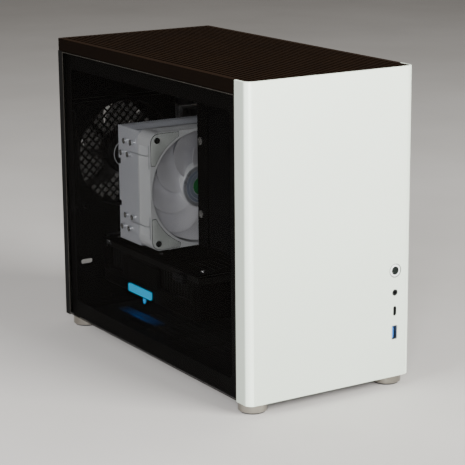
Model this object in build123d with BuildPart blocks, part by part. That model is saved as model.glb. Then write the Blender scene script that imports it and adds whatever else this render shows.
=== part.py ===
from build123d import *
import os
from math import cos, sin, radians

os.makedirs("parts", exist_ok=True)

# Compact micro-ATX tower. Origin: centre of the footprint on the floor.
# +X is the right side seen from the front, the front faces -Y, +Z is up. Millimetres.

# ---------------- driving dimensions ----------------
W, D, H = 185.0, 370.0, 310.0      # overall width, depth, height with feet
FOOT_H = 10.0                      # foot height under the body
HW, HD = W / 2, D / 2
Z0 = FOOT_H                        # underside of the body
SHEET = 1.2                        # steel sheet
FRONT_R = 8.0                      # front panel corner radius
FRONT_T = 2.5                      # front panel wall
Y_RET = -164.0                     # rear edge of the front panel's side returns
PANEL_GAP = 0.5
GLASS_T = 4.0
GLASS_Y1 = 176.0                   # rear edge of the glass
PANEL_Z0, PANEL_Z1 = 11.0, 296.5   # side panel height span
COVER_Z = 297.3                    # underside of the top cover
SLOT_PITCH, SLOT_W = 6.0, 3.2      # top cover slots
TRAY_X = 84.0                      # motherboard tray
Y_FR = -166.0                      # front inner frame
YR = 182.8                         # inside face of the rear panel
IO_X = 73.0                        # front ports, column centre
Z_BTN, Z_JACK, Z_USBC, Z_USBA = 115.6, 93.9, 75.8, 54.5
BTN_TRAVEL = 1.2
PSU_W, PSU_T, PSU_L = 150.0, 86.0, 140.0
PSU_Y0, PSU_Z0 = -158.0, 139.0
PCB_X = 75.9                       # component face of the motherboard
PCB_Y0, PCB_Y1, PCB_Z0, PCB_Z1 = -62.5, 181.5, 13.5, 257.5
CPU_Y, CPU_Z = 66.5, 172.0
FAN = 120.0                        # fan size, depth 25, holes at 105
COOLER_FAN = (-18.0, 17.0, 172.0)  # centre x, front face y, centre z
REAR_FAN = (-27.0, 157.8, 184.0)
GPU_Z = 88.0                       # graphics card board plane
SLOT_DZ = 20.32
FOOT_X, FOOT_Y = 77.0, 167.5
FIN_X0, FIN_PITCH, FIN_N, FIN_T = -76.0, 2.2, 50, 0.5

P = {}                             # node name -> builder


def slab(x0, x1, y0, y1, z0, z1, mode=Mode.ADD):
    with Locations(((x0 + x1) / 2, (y0 + y1) / 2, (z0 + z1) / 2)):
        Box(x1 - x0, y1 - y0, z1 - z0, mode=mode)


def rod(axis, a, b, u, v, r, mode=Mode.ADD):
    """Cylinder of radius r from a to b along an axis; u, v are the other two coordinates in order."""
    m = (a + b) / 2
    c, rot = {"x": ((m, u, v), (0, 90, 0)), "y": ((u, m, v), (90, 0, 0)), "z": ((u, v, m), (0, 0, 0))}[axis]
    with Locations(c):
        Cylinder(r, abs(b - a), rotation=rot, mode=mode)


# ================= outer shell =================
# U-shaped extruded front panel with rounded vertical corners
with BuildPart() as front_panel:
    with BuildSketch(Plane.XY.offset(Z0)) as s:
        with Locations((0, (-HD + Y_RET) / 2)):
            Rectangle(W, HD + Y_RET)
        fillet(s.vertices().group_by(Axis.Y)[0], FRONT_R)
        with Locations((0, (-HD + FRONT_T + Y_RET + 5) / 2)):
            Rectangle(W - 2 * FRONT_T, HD + Y_RET - FRONT_T + 5, mode=Mode.SUBTRACT)
        inner = s.vertices().filter_by_position(Axis.Y, -HD + FRONT_T - 0.01, -HD + FRONT_T + 0.01)
        fillet(inner.filter_by_position(Axis.X, -HW + 1, HW - 1), FRONT_R - FRONT_T)
    extrude(amount=H - Z0)
    chamfer(front_panel.faces().sort_by(Axis.Z)[-1].edges(), 0.4)
    chamfer(front_panel.faces().sort_by(Axis.Z)[0].edges(), 0.4)
    with BuildSketch(Plane.XZ.offset(HD + 1)) as s:
        with Locations((IO_X, Z_BTN)):
            Circle(6.2)
        with Locations((IO_X, Z_JACK)):
            Circle(3.3)
        with Locations((IO_X, Z_USBC)):
            SlotOverall(9.8, 3.9, rotation=90)
        with Locations((IO_X, Z_USBA)):
            RectangleRounded(6.6, 14.0, 0.8)
    extrude(amount=-6, mode=Mode.SUBTRACT)
P["front_panel"] = front_panel

# posts that carry the front panel on the inner frame
with BuildPart() as front_panel_studs:
    for x in (-50, 50):
        for z in (35, 160, 285):
            rod("y", -HD + FRONT_T, Y_FR, x, z, 4)
            rod("y", -HD + FRONT_T, -HD + FRONT_T + 1.5, x, z, 8)
P["front_panel_studs"] = front_panel_studs

# slotted top cover: skirt, top skin with long slots front to rear, cross bars below
with BuildPart() as top_cover:
    with BuildSketch(Plane.XY.offset(COVER_Z)) as s:
        with Locations((0, (Y_RET + PANEL_GAP + HD) / 2)):
            Rectangle(W, HD - Y_RET - PANEL_GAP)
        with Locations((0, (-182.2 + Y_RET + 2) / 2)):
            Rectangle(179.4, 182.2 + Y_RET + 2)
        fillet(s.vertices().group_by(Axis.Y)[0], 5.0)
    extrude(amount=H - COVER_Z)
    fillet(top_cover.edges().filter_by(Axis.Z).group_by(Axis.Y)[-1], 2.0)
    slab(-91, 91, -161.8, 183.5, COVER_Z - 1, 308.0, Mode.SUBTRACT)
    slab(-88, 88, -180.6, -160, COVER_Z - 1, 308.0, Mode.SUBTRACT)
    with BuildSketch(Plane.XY.offset(305)) as s:
        with GridLocations(SLOT_PITCH, 1, 29, 1):
            Rectangle(SLOT_W, 358)
    extrude(amount=10, mode=Mode.SUBTRACT)
    for y in (-179.4, -120, -60, 0, 60, 120, 179):
        slab(-91 if y > -150 else -88, 91 if y > -150 else 88, y - 1.5, y + 1.5, 305.2, 308.2)
P["top_cover"] = top_cover

with BuildPart() as top_filter:
    slab(-86, 86, -158, 178, 304.2, 305.2)
P["top_filter"] = top_filter

# dark glass side panel
with BuildPart() as glass_panel:
    slab(-HW, -HW + GLASS_T, Y_RET + PANEL_GAP, GLASS_Y1, PANEL_Z0, PANEL_Z1)
    chamfer(glass_panel.edges(), 0.5)
P["glass_panel"] = glass_panel

STUD_YZ = [(-154.0, 18.5), (-154.0, 288.5), (150.0, 18.5), (150.0, 288.5)]
with BuildPart() as glass_studs:
    for y, z in STUD_YZ:
        rod("x", -88.5, -87.0, y, z, 7)
        rod("x", -87.0, -81.5, y, z, 1.6)
        with Locations((-82.5, y, z)):
            Sphere(2.6)
P["glass_studs"] = glass_studs

with BuildPart() as right_panel:
    slab(91.3, HW, Y_RET + PANEL_GAP, 182.4, PANEL_Z0, PANEL_Z1)
    slab(87.5, 91.3, Y_RET + PANEL_GAP, Y_RET + PANEL_GAP + 1.2, 13, 294)
P["right_panel"] = right_panel

with BuildPart() as right_studs:
    for y, z in STUD_YZ:
        rod("x", 90.3, 91.3, y, z, 7)
        rod("x", 88.4, 90.3, y, z, 1.6)
        rod("x", 86.3, 88.4, y, z, 2.5)
P["right_studs"] = right_studs

# push-in clips for both side panels
with BuildPart() as panel_clips:
    for y, z in STUD_YZ:
        rod("x", -86.2, -79.0, y, z, 4.6)
        rod("x", -84.8, -83.4, y, z, 6.4)
        rod("x", -90, -79.4, y, z, 3.1, Mode.SUBTRACT)
        rod("x", TRAY_X + 1, 89.8, y, z, 5.4)
        rod("x", TRAY_X + 1.2, 95, y, z, 3.1, Mode.SUBTRACT)
P["panel_clips"] = panel_clips

# turned feet and their rubber pads
with BuildPart() as feet:
    for x in (-FOOT_X, FOOT_X):
        for y in (-FOOT_Y, FOOT_Y):
            rod("z", 1.5, FOOT_H, x, y, 14)
    chamfer(feet.edges().filter_by(GeomType.CIRCLE).group_by(Axis.Z)[0], 0.6)
    for x in (-FOOT_X, FOOT_X):
        for y in (-FOOT_Y, FOOT_Y):
            rod("z", 1.0, 2.5, x, y, 12, Mode.SUBTRACT)
P["feet"] = feet

with BuildPart() as foot_pads:
    for x in (-FOOT_X, FOOT_X):
        for y in (-FOOT_Y, FOOT_Y):
            rod("z", 0, 2.5, x, y, 12)
P["foot_pads"] = foot_pads

# ================= chassis =================
with BuildPart() as base_plate:
    slab(-88.2, 91.0, Y_RET + 0.3, YR, Z0, Z0 + SHEET)
    slab(-89.7, 89.7, -176, Y_RET + 0.4, Z0, Z0 + SHEET)
    slab(-84, 84, -182.2, -175, Z0, Z0 + SHEET)
    with BuildSketch(Plane.XY.offset(Z0 - 1)) as s:
        with Locations((0, 40)):
            with GridLocations(9, 44, 12, 4):
                SlotOverall(36, 4.4, rotation=90)
    extrude(amount=4, mode=Mode.SUBTRACT)
P["base_plate"] = base_plate

with BuildPart() as front_frame:
    slab(-89.5, 89.5, Y_FR, Y_FR + SHEET, Z0 + SHEET, 295.8)
    for z in (47, 123):
        rod("y", Y_FR - 2.4, Y_FR, 79, z, 2.8)
    with BuildSketch(Plane.XZ.offset(-Y_FR + 2)) as s:
        with Locations((0, 76)):
            with GridLocations(9, 50, 13, 2):
                SlotOverall(40, 4.4, rotation=90)
    extrude(amount=-6, mode=Mode.SUBTRACT)
P["front_frame"] = front_frame

SLOT_Z = [GPU_Z - 5 - SLOT_DZ * k for k in range(4)]      # slot bracket centres
with BuildPart() as rear_panel:
    slab(-HW, HW, YR, YR + SHEET, Z0, 297.0)
    slab(-HW, -HW + SHEET, GLASS_Y1 + 0.4, HD, Z0, 297.0)      # strip behind the glass
    slab(HW - SHEET, HW, YR, HD, Z0, 297.0)
    slab(-HW, HW, YR, HD, Z0, Z0 + SHEET)
    slab(35.3, 79.7, YR - 2, YR + 3, 96.0, 254.75, Mode.SUBTRACT)
    for z in SLOT_Z:
        slab(-28, 70, YR - 2, YR + 3, z - 6.5, z + 6.5, Mode.SUBTRACT)
        rod("y", YR - 2, YR + 3, -38, z, 1.9, Mode.SUBTRACT)
    slab(41.4, 68.6, YR - 2, YR + 3, 266.8, 287.2, Mode.SUBTRACT)
    # fan grille: diagonal field of square holes inside a 112 mm circle, the fan's screw holes and an oval lead hole
    pts = []
    for j in range(-12, 13):
        for i in range(-7, 8):
            px, pz = i * 9.5 + 4.75 * (j % 2), j * 4.75
            if (px * px + pz * pz) ** 0.5 < 53:
                pts.append((REAR_FAN[0] + px, REAR_FAN[2] + pz))
    with BuildSketch(Plane.XZ.offset(-YR + 2)) as s:
        with Locations(*pts):
            Rectangle(5.0, 5.0, rotation=45)
        with Locations((-66.7, 64.7)):
            SlotOverall(14, 5)
        with Locations(*[(REAR_FAN[0] + i, REAR_FAN[2] + j) for i in (-52.5, 52.5) for j in (-52.5, 52.5)]):
            Circle(2.2)
    extrude(amount=-6, mode=Mode.SUBTRACT)
P["rear_panel"] = rear_panel

with BuildPart() as motherboard_tray:
    slab(TRAY_X, TRAY_X + 1, Y_FR + SHEET, YR, Z0 + SHEET, 295.8)
    slab(TRAY_X - 1, TRAY_X + 3, CPU_Y - 40, CPU_Y + 40, CPU_Z - 45, CPU_Z + 45, Mode.SUBTRACT)
    with BuildSketch(Plane.YZ.offset(TRAY_X - 2)) as s:
        with Locations((-80, 60), (-80, 110)):
            SlotOverall(34, 16, rotation=90)
    extrude(amount=5, mode=Mode.SUBTRACT)
P["motherboard_tray"] = motherboard_tray

with BuildPart() as top_frame:
    slab(-88.2, 89.7, Y_FR + SHEET, YR, 295.8, 297.0)
    slab(-60, 60, -150, -80, 290, 300, Mode.SUBTRACT)
    slab(-60, 60, -50, 150, 290, 300, Mode.SUBTRACT)
    slab(-60, 60, 48, 52, 295.8, 297.0)
P["top_frame"] = top_frame

# C-shaped frame round the left opening, carries the glass clips
with BuildPart() as left_frame:
    slab(-86, -84.8, Y_FR + SHEET, -145, Z0 + SHEET, 295.8)
    slab(-86, -84.8, -151, YR, Z0 + SHEET, 25.2)
    slab(-86, -84.8, -151, YR, 281.8, 295.8)
    for y, z in STUD_YZ:
        rod("x", -88, -83, y, z, 4.6, Mode.SUBTRACT)
P["left_frame"] = left_frame

# ================= front ports and button =================
with BuildPart() as power_button:
    rod("y", -185.0, -178.0, IO_X, Z_BTN, 5.9)
    fillet(power_button.edges().filter_by(GeomType.CIRCLE).group_by(Axis.Y)[0], 0.4)
    rod("y", -187, -184.2, IO_X, Z_BTN, 4.1, Mode.SUBTRACT)
    rod("y", -178.0, -175.2, IO_X, Z_BTN, 2.5)
P["power_button"] = power_button

with BuildPart() as button_lens:
    rod("y", -184.9, -184.2, IO_X, Z_BTN, 4.0)
P["button_lens"] = button_lens

with BuildPart() as front_io_board:
    slab(63, 83, -170.0, -168.4, 42, 128)
    # push switch behind the power button
    slab(IO_X - 3, IO_X + 3, -173.0, -170.0, Z_BTN - 3, Z_BTN + 3)
    rod("y", -173.6, -173.0, IO_X, Z_BTN, 1.75)
P["front_io_board"] = front_io_board

with BuildPart() as audio_jack:
    slab(IO_X - 3.2, IO_X + 3.2, -179.5, -170.0, Z_JACK - 4, Z_JACK + 4)
    rod("y", -184.7, -179.5, IO_X, Z_JACK, 3.0)
    rod("y", -190, -171.0, IO_X, Z_JACK, 1.8, Mode.SUBTRACT)
P["audio_jack"] = audio_jack

with BuildPart() as usb_c_socket:
    with BuildSketch(Plane.XZ.offset(184.7)) as s:
        with Locations((IO_X, Z_USBC)):
            SlotOverall(9.2, 3.4, rotation=90)
            SlotOverall(8.5, 2.7, rotation=90, mode=Mode.SUBTRACT)
    extrude(amount=-13.7)
    slab(IO_X - 1.7, IO_X + 1.7, -171.0, -170.0, Z_USBC - 4.6, Z_USBC + 4.6)
    slab(IO_X - 0.35, IO_X + 0.35, -183.7, -171.0, Z_USBC - 3.3, Z_USBC + 3.3)
P["usb_c_socket"] = usb_c_socket

with BuildPart() as usb_a_socket:
    with BuildSketch(Plane.XZ.offset(184.7)) as s:
        with Locations((IO_X, Z_USBA)):
            RectangleRounded(5.8, 13.2, 0.5)
            Rectangle(5.1, 12.5, mode=Mode.SUBTRACT)
    extrude(amount=-13.7)
    slab(IO_X - 2.9, IO_X + 2.9, -171.0, -170.0, Z_USBA - 6.6, Z_USBA + 6.6)
    slab(IO_X - 2.1, IO_X - 0.3, -183.5, -171.0, Z_USBA - 5.6, Z_USBA + 5.6)
P["usb_a_socket"] = usb_a_socket

# ================= power supply =================
PX0, PX1 = -PSU_W / 2, PSU_W / 2
PY0, PY1 = PSU_Y0, PSU_Y0 + PSU_T
PZ0, PZ1 = PSU_Z0, PSU_Z0 + PSU_L
PSU_FC = (0.0, 209.0)
INLET = (40.0, -118.0)
SWITCH = (6.0, -118.0)
with BuildPart() as psu_case:
    slab(PX0, PX1, PY0, PY1, PZ0, PZ1)
    slab(PX0 + 1, PX1 - 1, PY0 + 1, PY1 - 1, PZ0 + 1, PZ1 - 1, Mode.SUBTRACT)
    rod("y", PY1 - 3, PY1 + 3, PSU_FC[0], PSU_FC[1], 57, Mode.SUBTRACT)
    with BuildSketch(Plane.XY.offset(PZ1 - 3)) as s:
        with Locations(INLET):
            Rectangle(27.4, 20.4)
        with Locations(SWITCH):
            Rectangle(13.6, 19.4)
        with Locations((-42, -115)):
            with GridLocations(5, 34, 10, 2):
                SlotOverall(30, 3.2, rotation=90)
        with Locations(*[(x, y) for x in (-68, 68) for y in (-151, -79)]):
            Circle(1.7)
    extrude(amount=6, mode=Mode.SUBTRACT)
    slab(24, 60, -112, -92, PZ0 - 2, PZ0 + 3, Mode.SUBTRACT)
P["psu_case"] = psu_case

# cradle that hangs the supply between the inner frame and the tray
with BuildPart() as psu_bracket:
    slab(-76.2, TRAY_X, Y_FR + SHEET, PY1, PZ1, PZ1 + SHEET)
    slab(-62, 62, PY0 + 6, PY1 - 6, PZ1 - 1, PZ1 + 3, Mode.SUBTRACT)
    for x in (-68, 68):
        for y in (-151, -79):
            rod("z", PZ1 - 1, PZ1 + 3, x, y, 1.9, Mode.SUBTRACT)
    slab(-76.2, -75, -90, PY1, PZ0 - SHEET, PZ1 + SHEET)
    slab(-76.2, TRAY_X, Y_FR + SHEET, PY1, PZ0 - SHEET, PZ0)
    slab(-62, 62, PY0 + 6, PY1 - 6, PZ0 - 3, PZ0 + 1, Mode.SUBTRACT)
P["psu_bracket"] = psu_bracket

# rocker: turns on two stub pins along X, stored in its first position
PIV = (SWITCH[1], PZ1 - 3.0)
TILT = radians(10)


def tilted(dy, dz):
    return (PIV[0] + dy * cos(TILT) - dz * sin(TILT), PIV[1] + dy * sin(TILT) + dz * cos(TILT))


with BuildPart() as psu_switch:
    with BuildSketch(Plane.YZ.offset(SWITCH[0] - 5.5)) as s:
        with BuildLine() as l:
            Polyline(tilted(-7.5, 4.0), tilted(0, 2.4), tilted(7.5, 4.0), tilted(6.4, -3), tilted(-6.4, -3), close=True)
        make_face()
    extrude(amount=11)
    rod("x", SWITCH[0] - 6.3, SWITCH[0] + 6.3, PIV[0], PIV[1], 1.0)
P["psu_switch"] = psu_switch

with BuildPart() as psu_switch_bezel:
    slab(SWITCH[0] - 6.8, SWITCH[0] + 6.8, SWITCH[1] - 9.7, SWITCH[1] + 9.7, PZ1 - 12, PZ1 + 0.6)
    slab(SWITCH[0] - 5.9, SWITCH[0] + 5.9, SWITCH[1] - 8.7, SWITCH[1] + 8.7, PZ1 - 11, PZ1 + 3, Mode.SUBTRACT)
    rod("x", SWITCH[0] - 6.35, SWITCH[0] + 6.35, PIV[0], PIV[1], 1.05, Mode.SUBTRACT)
P["psu_switch_bezel"] = psu_switch_bezel

# ================= fans =================
def fan_rotor(hub_r, tip_r, depth, n, chord, pitch, t=1.5):
    """Blades and hub on the active workplane, hub front at z = 0, growing along +z."""
    with PolarLocations((hub_r + tip_r) / 2, n):
        Box(tip_r - hub_r + 6, t, chord, rotation=(pitch, 0, 0), align=(Align.CENTER, Align.CENTER, Align.CENTER))


FRAMES = {
    "cooler_fan_frame": Plane(origin=(COOLER_FAN[0], COOLER_FAN[1], COOLER_FAN[2]), x_dir=(1, 0, 0), z_dir=(0, 1, 0)),
    "rear_fan_frame": Plane(origin=(REAR_FAN[0], REAR_FAN[1], REAR_FAN[2]), x_dir=(1, 0, 0), z_dir=(0, 1, 0)),
    "psu_fan_frame": Plane(origin=(PSU_FC[0], PY1 - 1, PSU_FC[1]), x_dir=(1, 0, 0), z_dir=(0, -1, 0)),
}
for name, pl in FRAMES.items():
    with BuildPart() as ff:
        closed = name == "cooler_fan_frame"
        with BuildSketch(pl) as s:
            RectangleRounded(FAN, FAN, 10 if closed else 7)
        extrude(amount=25)
        if closed:
            # closed sides with fine ribs that run along each side
            with BuildSketch(*[pl.offset(3.2 + 2.2 * k) for k in range(9)]) as s:
                Rectangle(FAN + 2, 92)
                Rectangle(92, FAN + 2)
                Rectangle(FAN - 1.2, FAN - 1.2, mode=Mode.SUBTRACT)
            extrude(amount=1.0, mode=Mode.SUBTRACT)
        else:
            # waist between the two flanges, leaving the round duct and the corners
            with BuildSketch(pl.offset(4)) as s:
                Rectangle(FAN + 2, FAN + 2)
                Circle(60.2, mode=Mode.SUBTRACT)
            extrude(amount=17, mode=Mode.SUBTRACT)
            with BuildSketch(pl.offset(4)) as s:
                with GridLocations(105, 105, 2, 2):
                    Circle(4.6)
            extrude(amount=17)
        with BuildSketch(pl.offset(-1)) as s:
            Circle(58)
            with GridLocations(105, 105, 2, 2):
                Circle(2.2)
        extrude(amount=27, mode=Mode.SUBTRACT)
        # four struts and the motor disc at the outlet side
        with BuildSketch(pl.offset(22)) as s:
            Circle(21)
            with PolarLocations(40, 4, start_angle=45):
                Rectangle(40, 3.2)
        extrude(amount=3)
    P[name] = ff

ROTORS = {"cooler_fan_rotor": ("cooler_fan_frame", 9), "rear_fan_rotor": ("rear_fan_frame", 7), "psu_fan_rotor": ("psu_fan_frame", 11)}
for name, (fr, n) in ROTORS.items():
    pl = FRAMES[fr]
    with BuildPart(pl.offset(11.6)) as rr:
        fan_rotor(21, 56.5, 18, n, 23, 42)
        Cylinder(56.5, 18, mode=Mode.INTERSECT)
        with Locations((0, 0, -0.4)):
            Cylinder(22, 18.8)
        fillet(rr.edges().filter_by(GeomType.CIRCLE).filter_by(lambda e: abs(e.radius - 22) < 0.01).sort_by(
            Axis(pl.origin, pl.z_dir))[0], 1.5)
    P[name] = rr

# rubber-edged screws through the rear panel
with BuildPart() as fan_screws:
    for i in (-52.5, 52.5):
        for j in (-52.5, 52.5):
            rod("y", YR + SHEET, YR + SHEET + 1.0, REAR_FAN[0] + i, REAR_FAN[2] + j, 4)
            rod("y", YR - 4, YR + SHEET, REAR_FAN[0] + i, REAR_FAN[2] + j, 2.1)
P["fan_screws"] = fan_screws

# ================= motherboard =================
STAND_YZ = [(y, z) for y in (-55, 22, 174) for z in (21, 96, 250)]
with BuildPart() as motherboard_pcb:
    slab(PCB_X, PCB_X + 1.6, PCB_Y0, PCB_Y1, PCB_Z0, PCB_Z1)
    for y, z in STAND_YZ:
        rod("x", PCB_X - 1, PCB_X + 3, y, z, 1.6, Mode.SUBTRACT)
P["motherboard_pcb"] = motherboard_pcb

with BuildPart() as standoffs:
    for y, z in STAND_YZ:
        with BuildSketch(Plane.YZ.offset(PCB_X + 1.6)) as s:
            with Locations((y, z)):
                RegularPolygon(3, 6)
        extrude(amount=TRAY_X - PCB_X - 1.6)
        rod("x", PCB_X, PCB_X + 1.6, y, z, 1.5)
        rod("x", PCB_X - 1.8, PCB_X, y, z, 3)
P["standoffs"] = standoffs

with BuildPart() as cpu_socket:
    slab(PCB_X - 4.4, PCB_X, CPU_Y - 24, CPU_Y + 24, CPU_Z - 29, CPU_Z + 29)
    slab(PCB_X - 6, PCB_X - 2.4, CPU_Y - 19, CPU_Y + 19, CPU_Z - 21, CPU_Z + 21, Mode.SUBTRACT)
P["cpu_socket"] = cpu_socket

with BuildPart() as cpu:
    slab(PCB_X - 3.6, PCB_X - 2.4, CPU_Y - 18.5, CPU_Y + 18.5, CPU_Z - 20.5, CPU_Z + 20.5)
    slab(PCB_X - 7.4, PCB_X - 3.6, CPU_Y - 15, CPU_Y + 15, CPU_Z - 17, CPU_Z + 17)
P["cpu"] = cpu

with BuildPart() as board_heatsinks:
    slab(PCB_X - 22, PCB_X, 36, 122, 236, 252)                  # above the processor
    for k in range(14):
        slab(PCB_X - 23, PCB_X - 6, 39 + 6 * k, 41.5 + 6 * k, 235, 253, Mode.SUBTRACT)
    slab(PCB_X - 24, PCB_X, 118, 138, 132, 228)                 # beside the port block
    for k in range(13):
        slab(PCB_X - 25, PCB_X - 8, 117, 139, 136 + 7 * k, 138.5 + 7 * k, Mode.SUBTRACT)
    slab(PCB_X - 7, PCB_X, -40, 5, 28, 72)                      # chipset
    slab(PCB_X - 7.5, PCB_X, 26, 108, 97, 119)                  # solid-state drive
    for k in range(8):
        slab(PCB_X - 8, PCB_X - 5, 32 + 9.5 * k, 34.5 + 9.5 * k, 96, 120, Mode.SUBTRACT)
P["board_heatsinks"] = board_heatsinks

RAM_Y = (2.5, 12.0)
with BuildPart() as board_sockets:
    for y in RAM_Y:
        slab(PCB_X - 7, PCB_X, y - 3.3, y + 3.3, CPU_Z - 72, CPU_Z + 72)
        slab(PCB_X - 10, PCB_X - 4.4, y - 0.8, y + 0.8, CPU_Z - 67, CPU_Z + 67, Mode.SUBTRACT)
        for s_ in (-1, 1):
            zc = CPU_Z + s_ * 70
            slab(PCB_X - 15, PCB_X - 7, y - 3.3, y + 3.3, zc - 2, zc + 2)
    slab(PCB_X - 11, PCB_X, 36, 127, GPU_Z - 4, GPU_Z + 4)
    slab(PCB_X - 14, PCB_X - 3.8, 38, 125, GPU_Z - 0.9, GPU_Z + 0.9, Mode.SUBTRACT)
    slab(PCB_X - 11, PCB_X, 36, 127, GPU_Z - 3 * SLOT_DZ - 4, GPU_Z - 3 * SLOT_DZ + 4)
    slab(PCB_X - 14, PCB_X - 3.8, 38, 125, GPU_Z - 3 * SLOT_DZ - 0.9, GPU_Z - 3 * SLOT_DZ + 0.9, Mode.SUBTRACT)
    slab(PCB_X - 13, PCB_X, -61.5, -51.5, 150, 202)             # 24-pin power header
P["board_sockets"] = board_sockets

with BuildPart() as ram_sticks:
    for y in RAM_Y:
        slab(PCB_X - 32, PCB_X - 4.6, y - 0.7, y + 0.7, CPU_Z - 66.6, CPU_Z + 66.6)
        slab(PCB_X - 33, PCB_X - 8, y - 3.0, y + 3.0, CPU_Z - 65, CPU_Z + 65)
P["ram_sticks"] = ram_sticks

IO_BLOCKS = [(99, 112, 40), (115, 131, 44), (134, 150, 46), (153, 169, 46), (172, 187, 42), (190, 206, 44), (212, 224, 30), (231, 247, 44)]
with BuildPart() as rear_io_ports:
    for z0, z1, d in IO_BLOCKS:
        slab(PCB_X - d + 6, PCB_X, 158, 183.6, z0, z1)
        if d >= 42:
            slab(PCB_X - d + 8, PCB_X - d + 15, 170, 190, z0 + 1.2, z1 - 1.2, Mode.SUBTRACT)
            slab(PCB_X - d + 24, PCB_X - d + 31, 170, 190, z0 + 1.2, z1 - 1.2, Mode.SUBTRACT)
        elif d == 40:
            for k in range(3):
                rod("y", 168, 190, PCB_X - d + 12 + 9.2 * k, (z0 + z1) / 2, 1.8, Mode.SUBTRACT)
P["rear_io_ports"] = rear_io_ports

with BuildPart() as io_shield:
    slab(33.6, 81.2, YR - 0.6, YR, 94.4, 256.2)
    for z0, z1, d in IO_BLOCKS:
        slab(PCB_X - d + 5.7, PCB_X + 0.3, YR - 3, YR + 3, z0 - 0.3, z1 + 0.3, Mode.SUBTRACT)
P["io_shield"] = io_shield

# bundle of the 24 board wires, from the plug to the supply
with BuildPart() as atx_harness:
    with BuildLine() as l:
        FilletPolyline((54, -56.5, 176), (44, -56.5, 168), (42, -57, 138), (42, -74, 114), (42, -98, 116), (42, -102, 139),
                       radius=[5.5, 12, 14, 12])
    with BuildSketch(Plane(origin=(54, -56.5, 176), z_dir=Vector(-10, 0, -8).normalized())) as s:
        Circle(4.5)
    sweep()
    slab(54, PCB_X - 13, -61.5, -51.5, 150, 202)
P["atx_harness"] = atx_harness

# ================= processor cooler =================
PIPES = [(56.0, CPU_Z + 45, CPU_Z - 32), (70.0, CPU_Z + 45, CPU_Z - 32), (63.0, CPU_Z + 32, CPU_Z - 45), (77.0, CPU_Z + 32, CPU_Z - 45)]
TIP_X, RUN_X = FIN_X0 - 3.0, 56.0
with BuildPart() as heat_pipes:
    for y, zt, zb in PIPES:
        with BuildLine() as l:
            FilletPolyline((TIP_X, y, zt), (RUN_X, y, zt), (RUN_X, y, zb), (TIP_X, y, zb), radius=16)
        with BuildSketch(Plane(origin=(TIP_X, y, zt), z_dir=(1, 0, 0))) as s:
            Circle(3)
        sweep()
P["heat_pipes"] = heat_pipes

with BuildPart() as cooler_base:
    slab(RUN_X - 5, PCB_X - 7.4, CPU_Y - 20, CPU_Y + 20, CPU_Z - 17, CPU_Z + 17)
    for y, zt, zb in PIPES:
        rod("z", CPU_Z - 20, CPU_Z + 20, RUN_X, y, 3, Mode.SUBTRACT)
    for s_ in (-1, 1):
        y = CPU_Y + s_ * 27
        slab(61, 64, y - 4, y + 4, CPU_Z - 46, CPU_Z + 46)
        slab(61, 64, min(y, CPU_Y + s_ * 19), max(y, CPU_Y + s_ * 19), CPU_Z - 8, CPU_Z + 8)
        for t_ in (-1, 1):
            rod("x", 64, PCB_X, y, CPU_Z + t_ * 41, 3.5)
            rod("x", 56, 61, y, CPU_Z + t_ * 41, 3.2)
P["cooler_base"] = cooler_base

FIN_Y0, FIN_Y1, FIN_HZ = COOLER_FAN[1] + 25, COOLER_FAN[1] + 69, 59.0
with BuildPart() as fin_stack:
    planes = [Plane.YZ.offset(FIN_X0 + FIN_PITCH * k) for k in range(FIN_N)]
    with BuildSketch(*planes) as s:
        with Locations(((FIN_Y0 + FIN_Y1) / 2, CPU_Z)):
            Rectangle(FIN_Y1 - FIN_Y0, 2 * FIN_HZ)
        with Locations((FIN_Y1, CPU_Z + 22), (FIN_Y1, CPU_Z - 22)):
            Rectangle(8, 6, mode=Mode.SUBTRACT)
        with Locations(*[(y, z) for y, zt, zb in PIPES for z in (zt, zb)]):
            Circle(3, mode=Mode.SUBTRACT)
    extrude(amount=FIN_T)
    with BuildSketch(planes[0]) as s:
        for y, zt, zb in PIPES:
            for z in (zt, zb):
                with Locations((y, z)):
                    Circle(3.5)
                    Circle(3, mode=Mode.SUBTRACT)
    extrude(amount=FIN_PITCH * (FIN_N - 1) + FIN_T)
P["fin_stack"] = fin_stack

# spring wire clips that hold the fan on the fins, two on each side
with BuildPart() as fan_clips:
    for x, sx in ((COOLER_FAN[0] - 60, -1), (COOLER_FAN[0] + 60, 1)):
        for dz in (-1, 1):
            z = CPU_Z + dz * 36
            xo = x + sx * 1.0
            slab(min(x, x + sx * 1.6), max(x, x + sx * 1.6), COOLER_FAN[1] + 2, FIN_Y0 + 14, z - 0.8, z + 0.8)
            slab(min(x, x + sx * 1.6), max(x, x + sx * 1.6), COOLER_FAN[1] + 0.6, COOLER_FAN[1] + 2.2, z - 12, z + 12)
P["fan_clips"] = fan_clips

# ================= graphics card =================
GX0, GX1, GY0, GY1 = -50.0, 60.0, -22.0, 176.0
GZ0 = 42.5
with BuildPart() as gpu_board:
    slab(GX0 + 6, GX1, GY0 + 2, 180, GPU_Z - 0.8, GPU_Z + 0.8)
    slab(GX1, PCB_X - 5, 40, 123, GPU_Z - 0.8, GPU_Z + 0.8)
    slab(-30, 50, 176, 181.9, GPU_Z - 16, GPU_Z - 0.8)                # video connectors
P["gpu_board"] = gpu_board

with BuildPart() as gpu_backplate:
    slab(GX0, GX1 - 2, GY0, GY1, GPU_Z + 2.2, GPU_Z + 3.4)
    for x in (-35, 45):
        for y in (-10, 75, 165):
            rod("z", GPU_Z + 0.8, GPU_Z + 2.2, x, y, 3)
    with BuildSketch(Plane.XY.offset(GPU_Z + 1)) as s:
        with Locations((0, 10)):
            with GridLocations(8, 1, 8, 1):
                SlotOverall(44, 3.6, rotation=90)
    extrude(amount=4, mode=Mode.SUBTRACT)
P["gpu_backplate"] = gpu_backplate

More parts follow.
